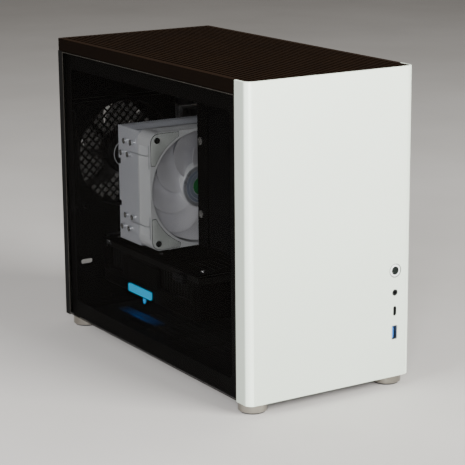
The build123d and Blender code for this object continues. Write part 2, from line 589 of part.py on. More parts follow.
GFAN = [(4.0, 28.0), (4.0, 126.0)]
with BuildPart() as gpu_heatsink:
    with BuildSketch(Plane.XY.offset(GPU_Z - 7)) as s:
        with Locations(((GX0 + GX1 + 2) / 2, (GY0 + GY1 - 2) / 2)):
            Rectangle(GX1 - GX0 - 10, GY1 - GY0 - 14)
    extrude(amount=6.2)
    with BuildSketch(Plane.XY.offset(60)) as s:
        with Locations(((GX0 + GX1 + 2) / 2, (GY0 + GY1 - 2) / 2)):
            with GridLocations(1, 5.8, 1, 31):
                Rectangle(GX1 - GX0 - 10, 1.2)
    extrude(amount=GPU_Z - 7 - 60)
    with BuildSketch(Plane.XY.offset(57.2)) as s:
        with Locations(*GFAN):
            Circle(17)
    extrude(amount=5)
P["gpu_heatsink"] = gpu_heatsink

with BuildPart() as gpu_shroud:
    slab(GX0, GX1, GY0, GY1, GZ0, 80)
    fillet(gpu_shroud.edges().filter_by(Axis.Z), 4)
    chamfer(gpu_shroud.faces().sort_by(Axis.Z)[0].edges(), 2)
    slab(GX0 + 2.5, GX1 - 2.5, GY0 + 2.5, GY1 - 2.5, GZ0 + 2.5, 90, Mode.SUBTRACT)
    for x, y in GFAN:
        rod("z", GZ0 - 2, GZ0 + 4, x, y, 44, Mode.SUBTRACT)
    for y0, y1 in ((-8, 52), (132, 166)):
        slab(GX0 - 2, GX0 + 4, y0, y1, 61, 85, Mode.SUBTRACT)
    slab(GX0 + 1, GX0 + 6, 60, 64, GZ0 + 2, GPU_Z - 7)
    slab(GX0 + 1, GX0 + 6, 124, 128, GZ0 + 2, GPU_Z - 7)
    slab(GX1 - 4, GX1 - 1, 70, 100, GZ0 + 2, GPU_Z - 7)
P["gpu_shroud"] = gpu_shroud

for name, (x, y) in (("gpu_fan_front", GFAN[0]), ("gpu_fan_rear", GFAN[1])):
    with BuildPart(Plane(origin=(x, y, 50.2), x_dir=(1, 0, 0), z_dir=(0, 0, 1))) as rr:
        fan_rotor(15, 42.5, 11, 11, 13, 40, 1.2)
        Cylinder(42.5, 11, mode=Mode.INTERSECT)
        with Locations((0, 0, 0.2)):
            Cylinder(16, 12.4)
    P[name] = rr

with BuildPart() as gpu_light_bar:
    slab(GX0 - 2, GX0, 68.5, 116.6, 44.8, 53.2)
    fillet(gpu_light_bar.edges().filter_by(Axis.X), 1.2)
P["gpu_light_bar"] = gpu_light_bar

with BuildPart() as gpu_bracket:
    slab(-42, 72, YR - 0.9, YR, SLOT_Z[1] - 9.2, SLOT_Z[0] + 9.2)
    for k in range(2):
        rod("y", YR - 3, YR + 3, -38, SLOT_Z[k], 1.9, Mode.SUBTRACT)
        for j in range(4):
            slab(-24 + 23 * j, -24 + 23 * j + 18, YR - 3, YR + 3, SLOT_Z[1] - 3, SLOT_Z[1] + 3, Mode.SUBTRACT)
P["gpu_bracket"] = gpu_bracket

with BuildPart() as slot_covers:
    for k in (2, 3):
        slab(-42, 72, YR - 0.9, YR, SLOT_Z[k] - 9.2, SLOT_Z[k] + 9.2)
        rod("y", YR - 3, YR + 3, -38, SLOT_Z[k], 1.9, Mode.SUBTRACT)
P["slot_covers"] = slot_covers

# 6-32 screws: card brackets, supply cradle (top and left strap)
with BuildPart() as case_screws:
    for z in SLOT_Z:
        rod("y", YR + SHEET, YR + SHEET + 1.0, -38, z, 4)
        rod("y", YR - 3, YR + SHEET, -38, z, 1.7)
    for x in (-68, 68):
        for y in (-151, -79):
            rod("z", PZ1 + SHEET, PZ1 + SHEET + 2.0, x, y, 3.6)
            rod("z", PZ1 - 4, PZ1 + SHEET, x, y, 1.65)
    for z in (170, 240):
        rod("x", -78.2, -76.2, -80, z, 3.6)
P["case_screws"] = case_screws

# ================= mains lead inside the case =================
ACX, ACZ = 55.0, 277.0
with BuildPart() as mains_inlets:
    slab(ACX - 13.4, ACX + 13.4, YR - 18, HD - 0.6, ACZ - 10, ACZ + 10)
    slab(ACX - 22, ACX + 22, YR - 2.4, YR, ACZ - 11, ACZ + 11)
    slab(ACX - 12, ACX + 12, YR - 14, HD + 2, ACZ - 8, ACZ + 8, Mode.SUBTRACT)
    for dx, dz in ((-7, 2), (7, 2), (0, -2)):
        slab(ACX + dx - 1, ACX + dx + 1, YR - 15, YR - 2, ACZ + dz - 2, ACZ + dz + 2)
    slab(INLET[0] - 13.6, INLET[0] + 13.6, INLET[1] - 10.1, INLET[1] + 10.1, PZ1 - 18, PZ1 + 0.8)
    slab(INLET[0] - 12, INLET[0] + 12, INLET[1] - 8, INLET[1] + 8, PZ1 - 14, PZ1 + 3, Mode.SUBTRACT)
    for dx, dy in ((-7, 2), (7, 2), (0, -2)):
        slab(INLET[0] + dx - 1, INLET[0] + dx + 1, INLET[1] + dy - 2, INLET[1] + dy + 2, PZ1 - 15, PZ1 - 4)
P["mains_inlets"] = mains_inlets

AC_PTS = [(ACX, YR - 18, ACZ), (55, 140, 277), (53.5, 105, 281), (51, 62, 284), (47, 18, 286.5), (43.5, -26, 287), (41, -66, 287.3), (40, -100, 287.3)]
with BuildPart() as ac_extension:
    rad = []
    for a, b, c in zip(AC_PTS, AC_PTS[1:], AC_PTS[2:]):
        va, vb = Vector(*b) - Vector(*a), Vector(*c) - Vector(*b)
        t = va.get_angle(vb)
        rad.append(0.45 * min(va.length, vb.length) / sin(radians(t / 2)) * cos(radians(t / 2)))
    print("ac_extension radii", [round(r, 1) for r in rad])
    with BuildLine() as l:
        FilletPolyline(*AC_PTS, radius=rad)
    with BuildSketch(Plane(origin=AC_PTS[0], z_dir=(Vector(*AC_PTS[1]) - Vector(*AC_PTS[0])).normalized())) as s:
        Circle(3.4)
    sweep()
    slab(27.5, 52.5, -134, -100, PZ1 + 3.0, 293.2)
    slab(INLET[0] - 11.5, INLET[0] + 11.5, INLET[1] - 7.5, INLET[1] + 7.5, PZ1 - 3.5, PZ1 + 4.0)
P["ac_extension"] = ac_extension

for name, bp in P.items():
    bp.part.label = name
    export_step(bp.part, f"parts/{name}.step")
    print(name, len(bp.part.solids()), round(bp.part.volume))
print(len(P), "nodes")
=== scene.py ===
import bpy
import bmesh
import math
import random
from mathutils import Matrix, Quaternion, Vector


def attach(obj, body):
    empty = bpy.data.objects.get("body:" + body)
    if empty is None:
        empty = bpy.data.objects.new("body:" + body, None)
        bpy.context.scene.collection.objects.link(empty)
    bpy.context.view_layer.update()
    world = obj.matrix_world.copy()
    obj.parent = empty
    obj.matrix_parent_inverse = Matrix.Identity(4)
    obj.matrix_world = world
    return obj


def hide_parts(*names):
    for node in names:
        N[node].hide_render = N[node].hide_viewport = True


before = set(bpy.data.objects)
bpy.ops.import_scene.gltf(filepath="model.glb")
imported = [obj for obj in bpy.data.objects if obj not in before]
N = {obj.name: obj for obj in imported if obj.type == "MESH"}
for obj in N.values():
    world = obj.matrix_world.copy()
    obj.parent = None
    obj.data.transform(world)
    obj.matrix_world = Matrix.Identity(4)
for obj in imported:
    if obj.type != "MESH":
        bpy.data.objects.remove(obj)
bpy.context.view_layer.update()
MM = 0.001
rnd = random.Random(7)

# ------------------------------------------------------------------ camera
cam_data = bpy.data.cameras.new("camera")
cam_data.lens = 133.127
cam_data.sensor_width = 36.0
cam_data.clip_start, cam_data.clip_end = 0.05, 60.0
cam = bpy.data.objects.new("camera", cam_data)
bpy.context.collection.objects.link(cam)
R = Matrix(((0.848286, 0.132990, -0.512567), (-0.529480, 0.198671, -0.824731), (-0.007849, 0.971001, 0.238945)))
cam.matrix_world = Matrix.Translation(Vector((-0.888574, -1.440335, 0.541348))) @ R.to_4x4()
bpy.context.scene.camera = cam


# ------------------------------------------------------------------ node helpers
def new_mat(name):
    m = bpy.data.materials.new(name)
    m.use_nodes = True
    nt = m.node_tree
    return m, nt, nt.nodes["Principled BSDF"]


def add(nt, kind, **kw):
    n = nt.nodes.new(kind)
    for k, v in kw.items():
        setattr(n, k, v)
    return n


def coords(nt, scale=(1, 1, 1), rot=(0, 0, 0)):
    tc = add(nt, "ShaderNodeTexCoord")
    mp = add(nt, "ShaderNodeMapping")
    mp.inputs["Scale"].default_value = scale
    mp.inputs["Rotation"].default_value = rot
    nt.links.new(tc.outputs["Object"], mp.inputs["Vector"])
    return mp.outputs["Vector"]


def noise(nt, vec, scale, detail=4.0, rough=0.55):
    n = add(nt, "ShaderNodeTexNoise")
    n.inputs["Scale"].default_value = scale
    n.inputs["Detail"].default_value = detail
    n.inputs["Roughness"].default_value = rough
    nt.links.new(vec, n.inputs["Vector"])
    return n.outputs["Fac"]


def ramp(nt, fac, lo, hi, a=0.0, b=1.0):
    n = add(nt, "ShaderNodeMapRange")
    n.inputs["From Min"].default_value = lo
    n.inputs["From Max"].default_value = hi
    n.inputs["To Min"].default_value = a
    n.inputs["To Max"].default_value = b
    nt.links.new(fac, n.inputs["Value"])
    return n.outputs["Result"]


def mixc(nt, fac, a, b, blend="MIX"):
    n = add(nt, "ShaderNodeMix", data_type="RGBA", blend_type=blend)
    for sock, v in ((n.inputs[6], a), (n.inputs[7], b)):
        if isinstance(v, (tuple, list)):
            sock.default_value = (*v[:3], 1.0)
        else:
            nt.links.new(v, sock)
    if isinstance(fac, (int, float)):
        n.inputs[0].default_value = fac
    else:
        nt.links.new(fac, n.inputs[0])
    return n.outputs[2]


def math_n(nt, op, a, b=None, clamp=False):
    n = add(nt, "ShaderNodeMath", operation=op, use_clamp=clamp)
    for i, v in enumerate((a, b)):
        if v is None:
            continue
        if isinstance(v, (int, float)):
            n.inputs[i].default_value = v
        else:
            nt.links.new(v, n.inputs[i])
    return n.outputs[0]


def bump(nt, bsdf, height, strength, dist, prev=None):
    b = add(nt, "ShaderNodeBump")
    b.inputs["Strength"].default_value = strength
    b.inputs["Distance"].default_value = dist
    nt.links.new(height, b.inputs["Height"])
    if prev is not None:
        nt.links.new(prev, b.inputs["Normal"])
    nt.links.new(b.outputs["Normal"], bsdf.inputs["Normal"])
    return b.outputs["Normal"]


def surface(name, c1, c2, rough=(0.4, 0.5), metal=0.0, blotch=18.0, grain=900.0, grain_strength=0.15,
            grain_dist=0.00005, stretch=(1, 1, 1), coat=0.0, spec=0.5, dust=0.0, aniso=0.0, sheen=0.0, peel=0.0):
    """Two-tone mottled surface with roughness variation, a fine bump, and dust on faces that look up."""
    m, nt, b = new_mat(name)
    v = coords(nt)
    vs = coords(nt, stretch) if tuple(stretch) != (1, 1, 1) else v
    big = noise(nt, v, blotch, 5.0)
    fine = noise(nt, vs, grain, 3.0, 0.6)
    tone = ramp(nt, big, 0.3, 0.7)
    col = mixc(nt, tone, c1, c2)
    col = mixc(nt, ramp(nt, fine, 0.35, 0.65, 0.0, 0.25), col, tuple(min(1.0, x * 1.25 + 0.004) for x in c2))
    rg = math_n(nt, "ADD", ramp(nt, big, 0.3, 0.7, rough[0], rough[1]), ramp(nt, fine, 0.3, 0.7, -0.03, 0.03))
    if dust > 0:
        geo = add(nt, "ShaderNodeNewGeometry")
        sep = add(nt, "ShaderNodeSeparateXYZ")
        nt.links.new(geo.outputs["Normal"], sep.inputs[0])
        up = ramp(nt, sep.outputs["Z"], 0.6, 1.0)
        sp = ramp(nt, noise(nt, v, 140.0, 6.0, 0.7), 0.45, 0.75)
        f = math_n(nt, "MULTIPLY", math_n(nt, "MULTIPLY", up, sp), dust)
        col = mixc(nt, f, col, (0.36, 0.34, 0.31))
        rg = math_n(nt, "ADD", rg, math_n(nt, "MULTIPLY", f, 0.4))
    nt.links.new(col, b.inputs["Base Color"])
    nt.links.new(rg, b.inputs["Roughness"])
    b.inputs["Metallic"].default_value = metal
    b.inputs["Specular IOR Level"].default_value = spec
    if coat:
        b.inputs["Coat Weight"].default_value = coat
        b.inputs["Coat Roughness"].default_value = 0.08
    if aniso:
        b.inputs["Anisotropic"].default_value = aniso
    if sheen:
        b.inputs["Sheen Weight"].default_value = sheen
    nrm = bump(nt, b, fine, grain_strength, grain_dist)
    if peel:
        bump(nt, b, noise(nt, v, 420.0, 2.0), peel, 0.0002, nrm)
    return m


def front_material():
    """Bead-blasted silver anodised aluminium, with painted shade: a near-black ring in the gap round the button, the
    front face darker towards the bottom, and the left-facing side return darker.
    """
    m, nt, b = new_mat("front_aluminium")
    v = coords(nt)
    big = noise(nt, v, 5.0, 4.0)
    fine = noise(nt, v, 2600.0, 3.0, 0.6)
    col = mixc(nt, ramp(nt, big, 0.3, 0.7), (0.83, 0.93, 0.79), (0.85, 0.95, 0.81))
    col = mixc(nt, ramp(nt, fine, 0.35, 0.65, 0.0, 0.22), col, (0.95, 0.97, 0.95))
    sep = add(nt, "ShaderNodeSeparateXYZ")
    nt.links.new(v, sep.inputs[0])
    # painted shade: a near-black ring in the gap round the power button, on the front face only
    dx = math_n(nt, "SUBTRACT", sep.outputs["X"], 0.073)
    dz = math_n(nt, "SUBTRACT", sep.outputs["Z"], 0.1156)
    r = math_n(nt, "SQRT", math_n(nt, "ADD", math_n(nt, "MULTIPLY", dx, dx), math_n(nt, "MULTIPLY", dz, dz)))
    ring = math_n(nt, "MULTIPLY", ramp(nt, r, 0.00610, 0.00625), ramp(nt, r, 0.00690, 0.00668))
    front = math_n(nt, "LESS_THAN", sep.outputs["Y"], -0.180)
    col = mixc(nt, math_n(nt, "MULTIPLY", math_n(nt, "MULTIPLY", ring, front), 0.88, clamp=True), col, (0.05, 0.055, 0.05))
    # painted shade: the front face goes darker towards the bottom (0.76 at z = 0), and faces looking left (-X) are
    # darkened to 0.52
    geo = add(nt, "ShaderNodeNewGeometry")
    sn = add(nt, "ShaderNodeSeparateXYZ")
    nt.links.new(geo.outputs["Normal"], sn.inputs[0])
    shade = ramp(nt, sep.outputs["Z"], 0.0, 0.31, 0.76, 1.0)
    face = math_n(nt, "LESS_THAN", sn.outputs["Y"], -0.97)
    side = ramp(nt, sn.outputs["X"], -0.93, -0.99)
    mul = add(nt, "ShaderNodeMix", data_type="RGBA", blend_type="MULTIPLY")
    mul.inputs[0].default_value = 1.0
    k = math_n(nt, "MULTIPLY", math_n(nt, "ADD", math_n(nt, "MULTIPLY", face, math_n(nt, "SUBTRACT", shade, 1.0)), 1.0),
               ramp(nt, side, 0.0, 1.0, 1.0, 0.52))
    comb = add(nt, "ShaderNodeCombineXYZ")
    for axis in ("X", "Y", "Z"):
        nt.links.new(k, comb.inputs[axis])
    nt.links.new(col, mul.inputs[6])
    nt.links.new(comb.outputs[0], mul.inputs[7])
    col = mul.outputs[2]
    nt.links.new(col, b.inputs["Base Color"])
    nt.links.new(math_n(nt, "ADD", ramp(nt, big, 0.3, 0.7, 0.37, 0.43), ramp(nt, fine, 0.3, 0.7, -0.03, 0.03)), b.inputs["Roughness"])
    b.inputs["Metallic"].default_value = 0.32
    bump(nt, b, fine, 0.12, 0.00004)
    return m


M = {}
# bead-blasted, silver anodised aluminium
M["front"] = front_material()
M["cover"] = surface("cover_black", (0.0078, 0.0032, 0.0008), (0.0118, 0.0054, 0.0018), (0.55, 0.65), blotch=30.0, grain=1700.0,
                     grain_strength=0.3, grain_dist=0.00006, dust=0.001, spec=0.03)
M["panel_black"] = surface("panel_black", (0.0085, 0.0082, 0.0080), (0.0125, 0.0122, 0.0118), (0.50, 0.62), blotch=22.0, grain=1500.0,
                           grain_strength=0.35, grain_dist=0.00006, dust=0.004, peel=0.15, spec=0.2)
M["steel_black"] = surface("chassis_black", (0.0016, 0.0015, 0.0014), (0.0030, 0.0028, 0.0026), (0.50, 0.62), blotch=22.0, grain=1500.0,
                           grain_strength=0.35, grain_dist=0.00006, dust=0.001, peel=0.15, spec=0.06)
M["psu"] = surface("psu_black", (0.0022, 0.0023, 0.0026), (0.0036, 0.0038, 0.0042), (0.52, 0.64), blotch=26.0, grain=1300.0,
                   grain_strength=0.4, grain_dist=0.00008, dust=0.001, spec=0.06)
M["bare"] = surface("bare_aluminium", (0.66, 0.67, 0.68), (0.76, 0.77, 0.78), (0.28, 0.38), metal=1.0, blotch=40.0, grain=900.0, stretch=(1, 1, 8))
M["screw"] = surface("screw_steel", (0.62, 0.62, 0.62), (0.78, 0.78, 0.77), (0.18, 0.30), metal=1.0, blotch=160.0, grain=1600.0)
M["clip"] = surface("clip_plastic", (0.035, 0.035, 0.036), (0.055, 0.055, 0.056), (0.4, 0.5), blotch=60.0)
M["rubber"] = surface("pad_rubber", (0.020, 0.020, 0.020), (0.038, 0.037, 0.036), (0.75, 0.88), blotch=70.0, grain=800.0, grain_strength=0.5)
M["port_black"] = surface("port_black", (0.0050, 0.0050, 0.0055), (0.010, 0.010, 0.0105), (0.38, 0.50), blotch=90.0, spec=0.25)
M["port_steel"] = surface("port_steel", (0.40, 0.40, 0.41), (0.52, 0.52, 0.52), (0.24, 0.36), metal=1.0, blotch=110.0, grain=1200.0, stretch=(1, 6, 1))
M["usb_blue"] = surface("usb_tongue_blue", (0.02, 0.12, 0.42), (0.03, 0.16, 0.50), (0.30, 0.42), blotch=200.0)
M["fan_white"] = surface("fan_white", (0.86, 0.88, 0.88), (0.92, 0.94, 0.94), (0.38, 0.50), blotch=24.0, grain=1100.0, grain_strength=0.2, dust=0.06)
M["fan_black"] = surface("fan_black", (0.0020, 0.0020, 0.0021), (0.0036, 0.0036, 0.0038), (0.45, 0.58), blotch=24.0, grain=1100.0, grain_strength=0.3, dust=0.001, spec=0.08)
M["blade_black"] = surface("blades_black", (0.0060, 0.0060, 0.0066), (0.010, 0.010, 0.011), (0.36, 0.46), blotch=30.0, grain=900.0, dust=0.006, spec=0.2)
M["nickel"] = surface("nickel", (0.66, 0.66, 0.67), (0.80, 0.80, 0.80), (0.10, 0.20), metal=1.0, blotch=60.0, grain=700.0, grain_strength=0.05)
M["cpu_lid"] = surface("cpu_lid", (0.60, 0.60, 0.60), (0.74, 0.74, 0.73), (0.25, 0.34), metal=1.0, blotch=80.0, grain=1400.0)
M["cable"] = surface("cable_black", (0.010, 0.010, 0.010), (0.017, 0.017, 0.017), (0.55, 0.66), blotch=120.0, grain=1500.0, grain_strength=0.3, spec=0.15)
M["brass"] = surface("brass", (0.68, 0.50, 0.22), (0.80, 0.62, 0.30), (0.22, 0.34), metal=1.0, blotch=150.0)
M["socket"] = surface("socket_black", (0.009, 0.009, 0.010), (0.016, 0.016, 0.017), (0.42, 0.55), blotch=80.0, dust=0.004, spec=0.15)
M["card"] = surface("card_black", (0.0024, 0.0020, 0.0017), (0.0046, 0.0039, 0.0034), (0.42, 0.55), blotch=26.0, grain=1400.0, grain_strength=0.35, dust=0.0, spec=0.05)
M["sink_grey"] = surface("heatsink_grey", (0.014, 0.0142, 0.015), (0.024, 0.0245, 0.026), (0.38, 0.48), metal=0.3, spec=0.3, blotch=36.0, grain=1000.0, stretch=(1, 1, 10))
M["ram"] = surface("ram_grey", (0.012, 0.012, 0.0135), (0.020, 0.020, 0.022), (0.32, 0.42), metal=0.3, spec=0.3, blotch=30.0, grain=900.0, stretch=(1, 1, 14))
M["brass_dull"] = surface("ceramic_tan", (0.10, 0.075, 0.045), (0.15, 0.11, 0.07), (0.45, 0.55), blotch=150.0)
M["gold"] = surface("contact_gold", (0.78, 0.56, 0.22), (0.90, 0.68, 0.30), (0.18, 0.28), metal=1.0, blotch=200.0)
M["pcb_green"] = surface("io_board", (0.010, 0.035, 0.022), (0.018, 0.055, 0.034), (0.30, 0.42), blotch=60.0, coat=0.3)
M["chip"] = surface("chip_black", (0.012, 0.012, 0.013), (0.020, 0.020, 0.021), (0.48, 0.60), blotch=150.0, grain=1800.0, spec=0.3)
M["jack_green"] = surface("jack_green", (0.22, 0.55, 0.16), (0.28, 0.62, 0.20), (0.35, 0.45), blotch=200.0)
M["jack_pink"] = surface("jack_pink", (0.75, 0.26, 0.34), (0.82, 0.32, 0.40), (0.35, 0.45), blotch=200.0)
M["jack_blue"] = surface("jack_blue", (0.18, 0.40, 0.72), (0.24, 0.46, 0.78), (0.35, 0.45), blotch=200.0)
M["dark_gloss"] = surface("button_dark", (0.0035, 0.0055, 0.0045), (0.0065, 0.0095, 0.0080), (0.22, 0.30), blotch=80.0, spec=0.15)


def feet_material():
    """Turned and polished metal: fine rings round the vertical axis."""
    m, nt, b = new_mat("foot_silver")
    v = coords(nt, (1, 1, 30))
    turn = noise(nt, v, 130.0, 2.0)
    big = noise(nt, coords(nt), 40.0, 4.0)
    nt.links.new(mixc(nt, ramp(nt, big, 0.3, 0.7), (0.30, 0.28, 0.245), (0.43, 0.405, 0.36)), b.inputs["Base Color"])
    nt.links.new(ramp(nt, turn, 0.3, 0.7, 0.08, 0.18), b.inputs["Roughness"])
    b.inputs["Metallic"].default_value = 1.0
    bump(nt, b, turn, 0.12, 0.00004)
    return m


def fin_material(name="fin_aluminium", dark=(0.74, 0.76, 0.81), light=(0.84, 0.86, 0.90), metal=0.22):
    """Thin bright aluminium sheet with rolling lines and slightly uneven shine."""
    m, nt, b = new_mat(name)
    roll = noise(nt, coords(nt, (1, 1, 40)), 60.0, 3.0)
    big = noise(nt, coords(nt), 14.0, 5.0)
    nt.links.new(mixc(nt, ramp(nt, big, 0.3, 0.7), dark, light), b.inputs["Base Color"])
    nt.links.new(math_n(nt, "ADD", ramp(nt, roll, 0.3, 0.7, 0.30, 0.42), ramp(nt, big, 0.3, 0.7, -0.04, 0.06)), b.inputs["Roughness"])
    b.inputs["Metallic"].default_value = metal
    bump(nt, b, roll, 0.10, 0.00004)
    return m


def blade_material(name="blades_clear", c1=(0.93, 0.93, 0.97), c2=(0.97, 0.97, 0.99), alpha=0.88):
    """Slightly see-through fan blade plastic."""
    m, nt, b = new_mat(name)
    big = noise(nt, coords(nt), 30.0, 4.0)
    nt.links.new(mixc(nt, ramp(nt, big, 0.3, 0.7), c1, c2), b.inputs["Base Color"])
    nt.links.new(ramp(nt, big, 0.3, 0.7, 0.26, 0.36), b.inputs["Roughness"])
    b.inputs["Specular IOR Level"].default_value = 0.3
    b.inputs["Alpha"].default_value = alpha
    bump(nt, b, noise(nt, coords(nt), 900.0, 2.0), 0.08, 0.00004)
    return m


def glass_material():
    """Dark tinted glass: clear enough to show the lit parts, a little shinier at a low angle."""
    m, nt, b = new_mat("tinted_glass")
    smear = noise(nt, coords(nt, (1, 0.4, 1)), 9.0, 5.0)
    nt.links.new(mixc(nt, ramp(nt, smear, 0.35, 0.7), (0.0005, 0.00035, 0.00025), (0.0008, 0.0006, 0.0004)), b.inputs["Base Color"])
    nt.links.new(ramp(nt, smear, 0.4, 0.8, 0.03, 0.08), b.inputs["Roughness"])
    b.inputs["IOR"].default_value = 1.45
    b.inputs["Specular IOR Level"].default_value = 0.02
    lw = add(nt, "ShaderNodeLayerWeight")
    lw.inputs["Blend"].default_value = 0.25
    nt.links.new(ramp(nt, lw.outputs["Facing"], 0.35, 1.0, 0.42, 0.62), b.inputs["Alpha"])
    return m


def board_material():
    """Black solder mask with faint copper tracks and fine vias."""
    m, nt, b = new_mat("board_black")
    v = coords(nt)
    br = add(nt, "ShaderNodeTexBrick")
    br.offset = 0.5
    br.inputs["Color1"].default_value = (0, 0, 0, 1)
    br.inputs["Color2"].default_value = (0.25, 0.25, 0.25, 1)
    br.inputs["Mortar"].default_value = (1, 1, 1, 1)
    br.inputs["Scale"].default_value = 90.0
    br.inputs["Mortar Size"].default_value = 0.035
    br.inputs["Brick Width"].default_value = 2.2
    sw = add(nt, "ShaderNodeSeparateXYZ")
    nt.links.new(v, sw.inputs[0])
    cb = add(nt, "ShaderNodeCombineXYZ")
    nt.links.new(sw.outputs["Y"], cb.inputs["X"])
    nt.links.new(sw.outputs["Z"], cb.inputs["Y"])
    nt.links.new(cb.outputs[0], br.inputs["Vector"])
    gate = ramp(nt, noise(nt, v, 28.0, 2.0), 0.48, 0.56)
    track = math_n(nt, "MULTIPLY", br.outputs["Fac"], gate)
    vor = add(nt, "ShaderNodeTexVoronoi")
    vor.inputs["Scale"].default_value = 260.0
    nt.links.new(v, vor.inputs["Vector"])
    via = ramp(nt, vor.outputs["Distance"], 0.16, 0.12)
    col = mixc(nt, track, (0.0030, 0.0033, 0.0036), (0.0085, 0.0088, 0.0092))
    col = mixc(nt, math_n(nt, "MULTIPLY", via, 0.35, clamp=True), col, (0.045, 0.038, 0.022))
    b.inputs["Specular IOR Level"].default_value = 0.15
    nt.links.new(col, b.inputs["Base Color"])
    nt.links.new(ramp(nt, noise(nt, v, 50.0, 3.0), 0.3, 0.7, 0.30, 0.44), b.inputs["Roughness"])
    bump(nt, b, track, 0.25, 0.00004)
    return m


def mesh_material():
    """Woven nylon dust mesh."""
    m, nt, b = new_mat("filter_mesh")
    v = coords(nt)
    waves = []
    for d in ("X", "Y"):
        w = add(nt, "ShaderNodeTexWave", wave_type="BANDS", bands_direction=d)
        w.inputs["Scale"].default_value = 400.0
        nt.links.new(v, w.inputs["Vector"])
        waves.append(w.outputs["Fac"])
    h = math_n(nt, "MAXIMUM", *waves)
    nt.links.new(mixc(nt, h, (0.004, 0.004, 0.004), (0.030, 0.028, 0.026)), b.inputs["Base Color"])
    b.inputs["Roughness"].default_value = 0.7
    bump(nt, b, h, 0.6, 0.0002)
    return m


def light_material(name, rgb, strength):
    m, nt, b = new_mat(name)
    n = noise(nt, coords(nt, (1, 1, 1)), 120.0, 2.0)
    nt.links.new(mixc(nt, ramp(nt, n, 0.3, 0.7), rgb, tuple(min(1, c * 1.1 + 0.03) for c in rgb)), b.inputs["Base Color"])
    b.inputs["Emission Color"].default_value = (*rgb, 1)
    b.inputs["Emission Strength"].default_value = strength
    b.inputs["Roughness"].default_value = 0.25
    return m


M["button_metal"] = surface("button_aluminium", (0.88, 0.90, 0.88), (0.93, 0.95, 0.93), (0.28, 0.34), metal=0.35, blotch=90.0, grain=2000.0)
M["clip_wire"] = surface("clip_wire", (0.60, 0.61, 0.62), (0.70, 0.71, 0.72), (0.35, 0.45), metal=0.4, blotch=90.0)
M["foot"] = feet_material()
M["fins"] = fin_material()
M["card_fins"] = fin_material("card_fins", (0.012, 0.011, 0.010), (0.020, 0.019, 0.018), 0.3)
M["blade_clear"] = blade_material()
M["glass"] = glass_material()
M["board"] = board_material()
M["filter"] = mesh_material()


def shade_sides(mat, factor):
    """Darken the upright sides of a cover, which catch less light than its top."""
    nt = mat.node_tree
    b = next(n for n in nt.nodes if n.type == "BSDF_PRINCIPLED")
    link = b.inputs["Base Color"].links[0]
    src = link.from_socket
    nt.links.remove(link)
    geo = add(nt, "ShaderNodeNewGeometry")
    sp = add(nt, "ShaderNodeSeparateXYZ")
    nt.links.new(geo.outputs["Normal"], sp.inputs[0])
    k = ramp(nt, sp.outputs["Z"], 0.3, 0.8, factor, 1.0)
    comb = add(nt, "ShaderNodeCombineXYZ")
    for axis in ("X", "Y", "Z"):
        nt.links.new(k, comb.inputs[axis])
    mul = add(nt, "ShaderNodeMix", data_type="RGBA", blend_type="MULTIPLY")
    mul.inputs[0].default_value = 1.0
    nt.links.new(src, mul.inputs[6])
    nt.links.new(comb.outputs[0], mul.inputs[7])
    nt.links.new(mul.outputs[2], b.inputs["Base Color"])


shade_sides(M["cover"], 0.22)
M["cyan"] = light_material("light_cyan", (0.0, 0.46, 0.82), 1.4)
M["spot"] = light_material("light_spot", (0.02, 0.42, 0.95), 1.2)
M["smoke"] = blade_material("blades_smoke", (0.004, 0.004, 0.0042), (0.007, 0.007, 0.0073), 0.62)
M["frit"] = surface("frit_black", (0.0010, 0.0009, 0.0008), (0.0018, 0.0016, 0.0014), (0.35, 0.45), blotch=40.0, spec=0.05)
# lighter strip round the glass's outer edge: a painted highlight of the polished edge
M["glass_edge_highlight"] = surface("glass_edge_highlight", (0.022, 0.020, 0.016), (0.034, 0.031, 0.026), (0.20, 0.30), blotch=60.0, spec=0.15)
M["pad_white"] = surface("pad_white", (0.66, 0.70, 0.66), (0.74, 0.78, 0.74), (0.50, 0.62), blotch=60.0, grain=1200.0)
# near-black fill for painted shade: the gaps round the fan pads, screw holes, cross recesses, capacitor vent scores and
# socket mouths
M["ink"] = surface("near_black_recess_shade", (0.010, 0.010, 0.010), (0.020, 0.020, 0.020), (0.6, 0.7), blotch=90.0)
M["label_green"] = surface("label_green", (0.006, 0.16, 0.035), (0.010, 0.21, 0.050), (0.30, 0.40), blotch=90.0)
M["label_blue"] = surface("label_blue", (0.22, 0.26, 0.34), (0.30, 0.34, 0.42), (0.30, 0.42), blotch=90.0)
M["hub_silver"] = surface("hub_silver", (0.50, 0.52, 0.55), (0.62, 0.64, 0.67), (0.24, 0.34), metal=0.5, blotch=70.0)
M["tip"] = surface("pipe_tip", (0.10, 0.105, 0.12), (0.18, 0.185, 0.20), (0.16, 0.28), metal=0.9, blotch=120.0)
M["can"] = surface("capacitor_can", (0.30, 0.30, 0.31), (0.42, 0.42, 0.43), (0.22, 0.34), metal=0.9, blotch=150.0)
M["white_ring"] = surface("white_ring", (0.62, 0.63, 0.65), (0.72, 0.73, 0.75), (0.35, 0.45), blotch=90.0)
M["guard"] = surface("guard_wire", (0.05, 0.05, 0.052), (0.08, 0.08, 0.083), (0.25, 0.36), metal=0.7, blotch=80.0)
M["jack_red"] = surface("tongue_red", (0.40, 0.03, 0.03), (0.50, 0.05, 0.04), (0.35, 0.45), blotch=200.0)
M["label_grey"] = surface("label_grey", (0.20, 0.20, 0.205), (0.27, 0.27, 0.275), (0.45, 0.55), blotch=60.0)


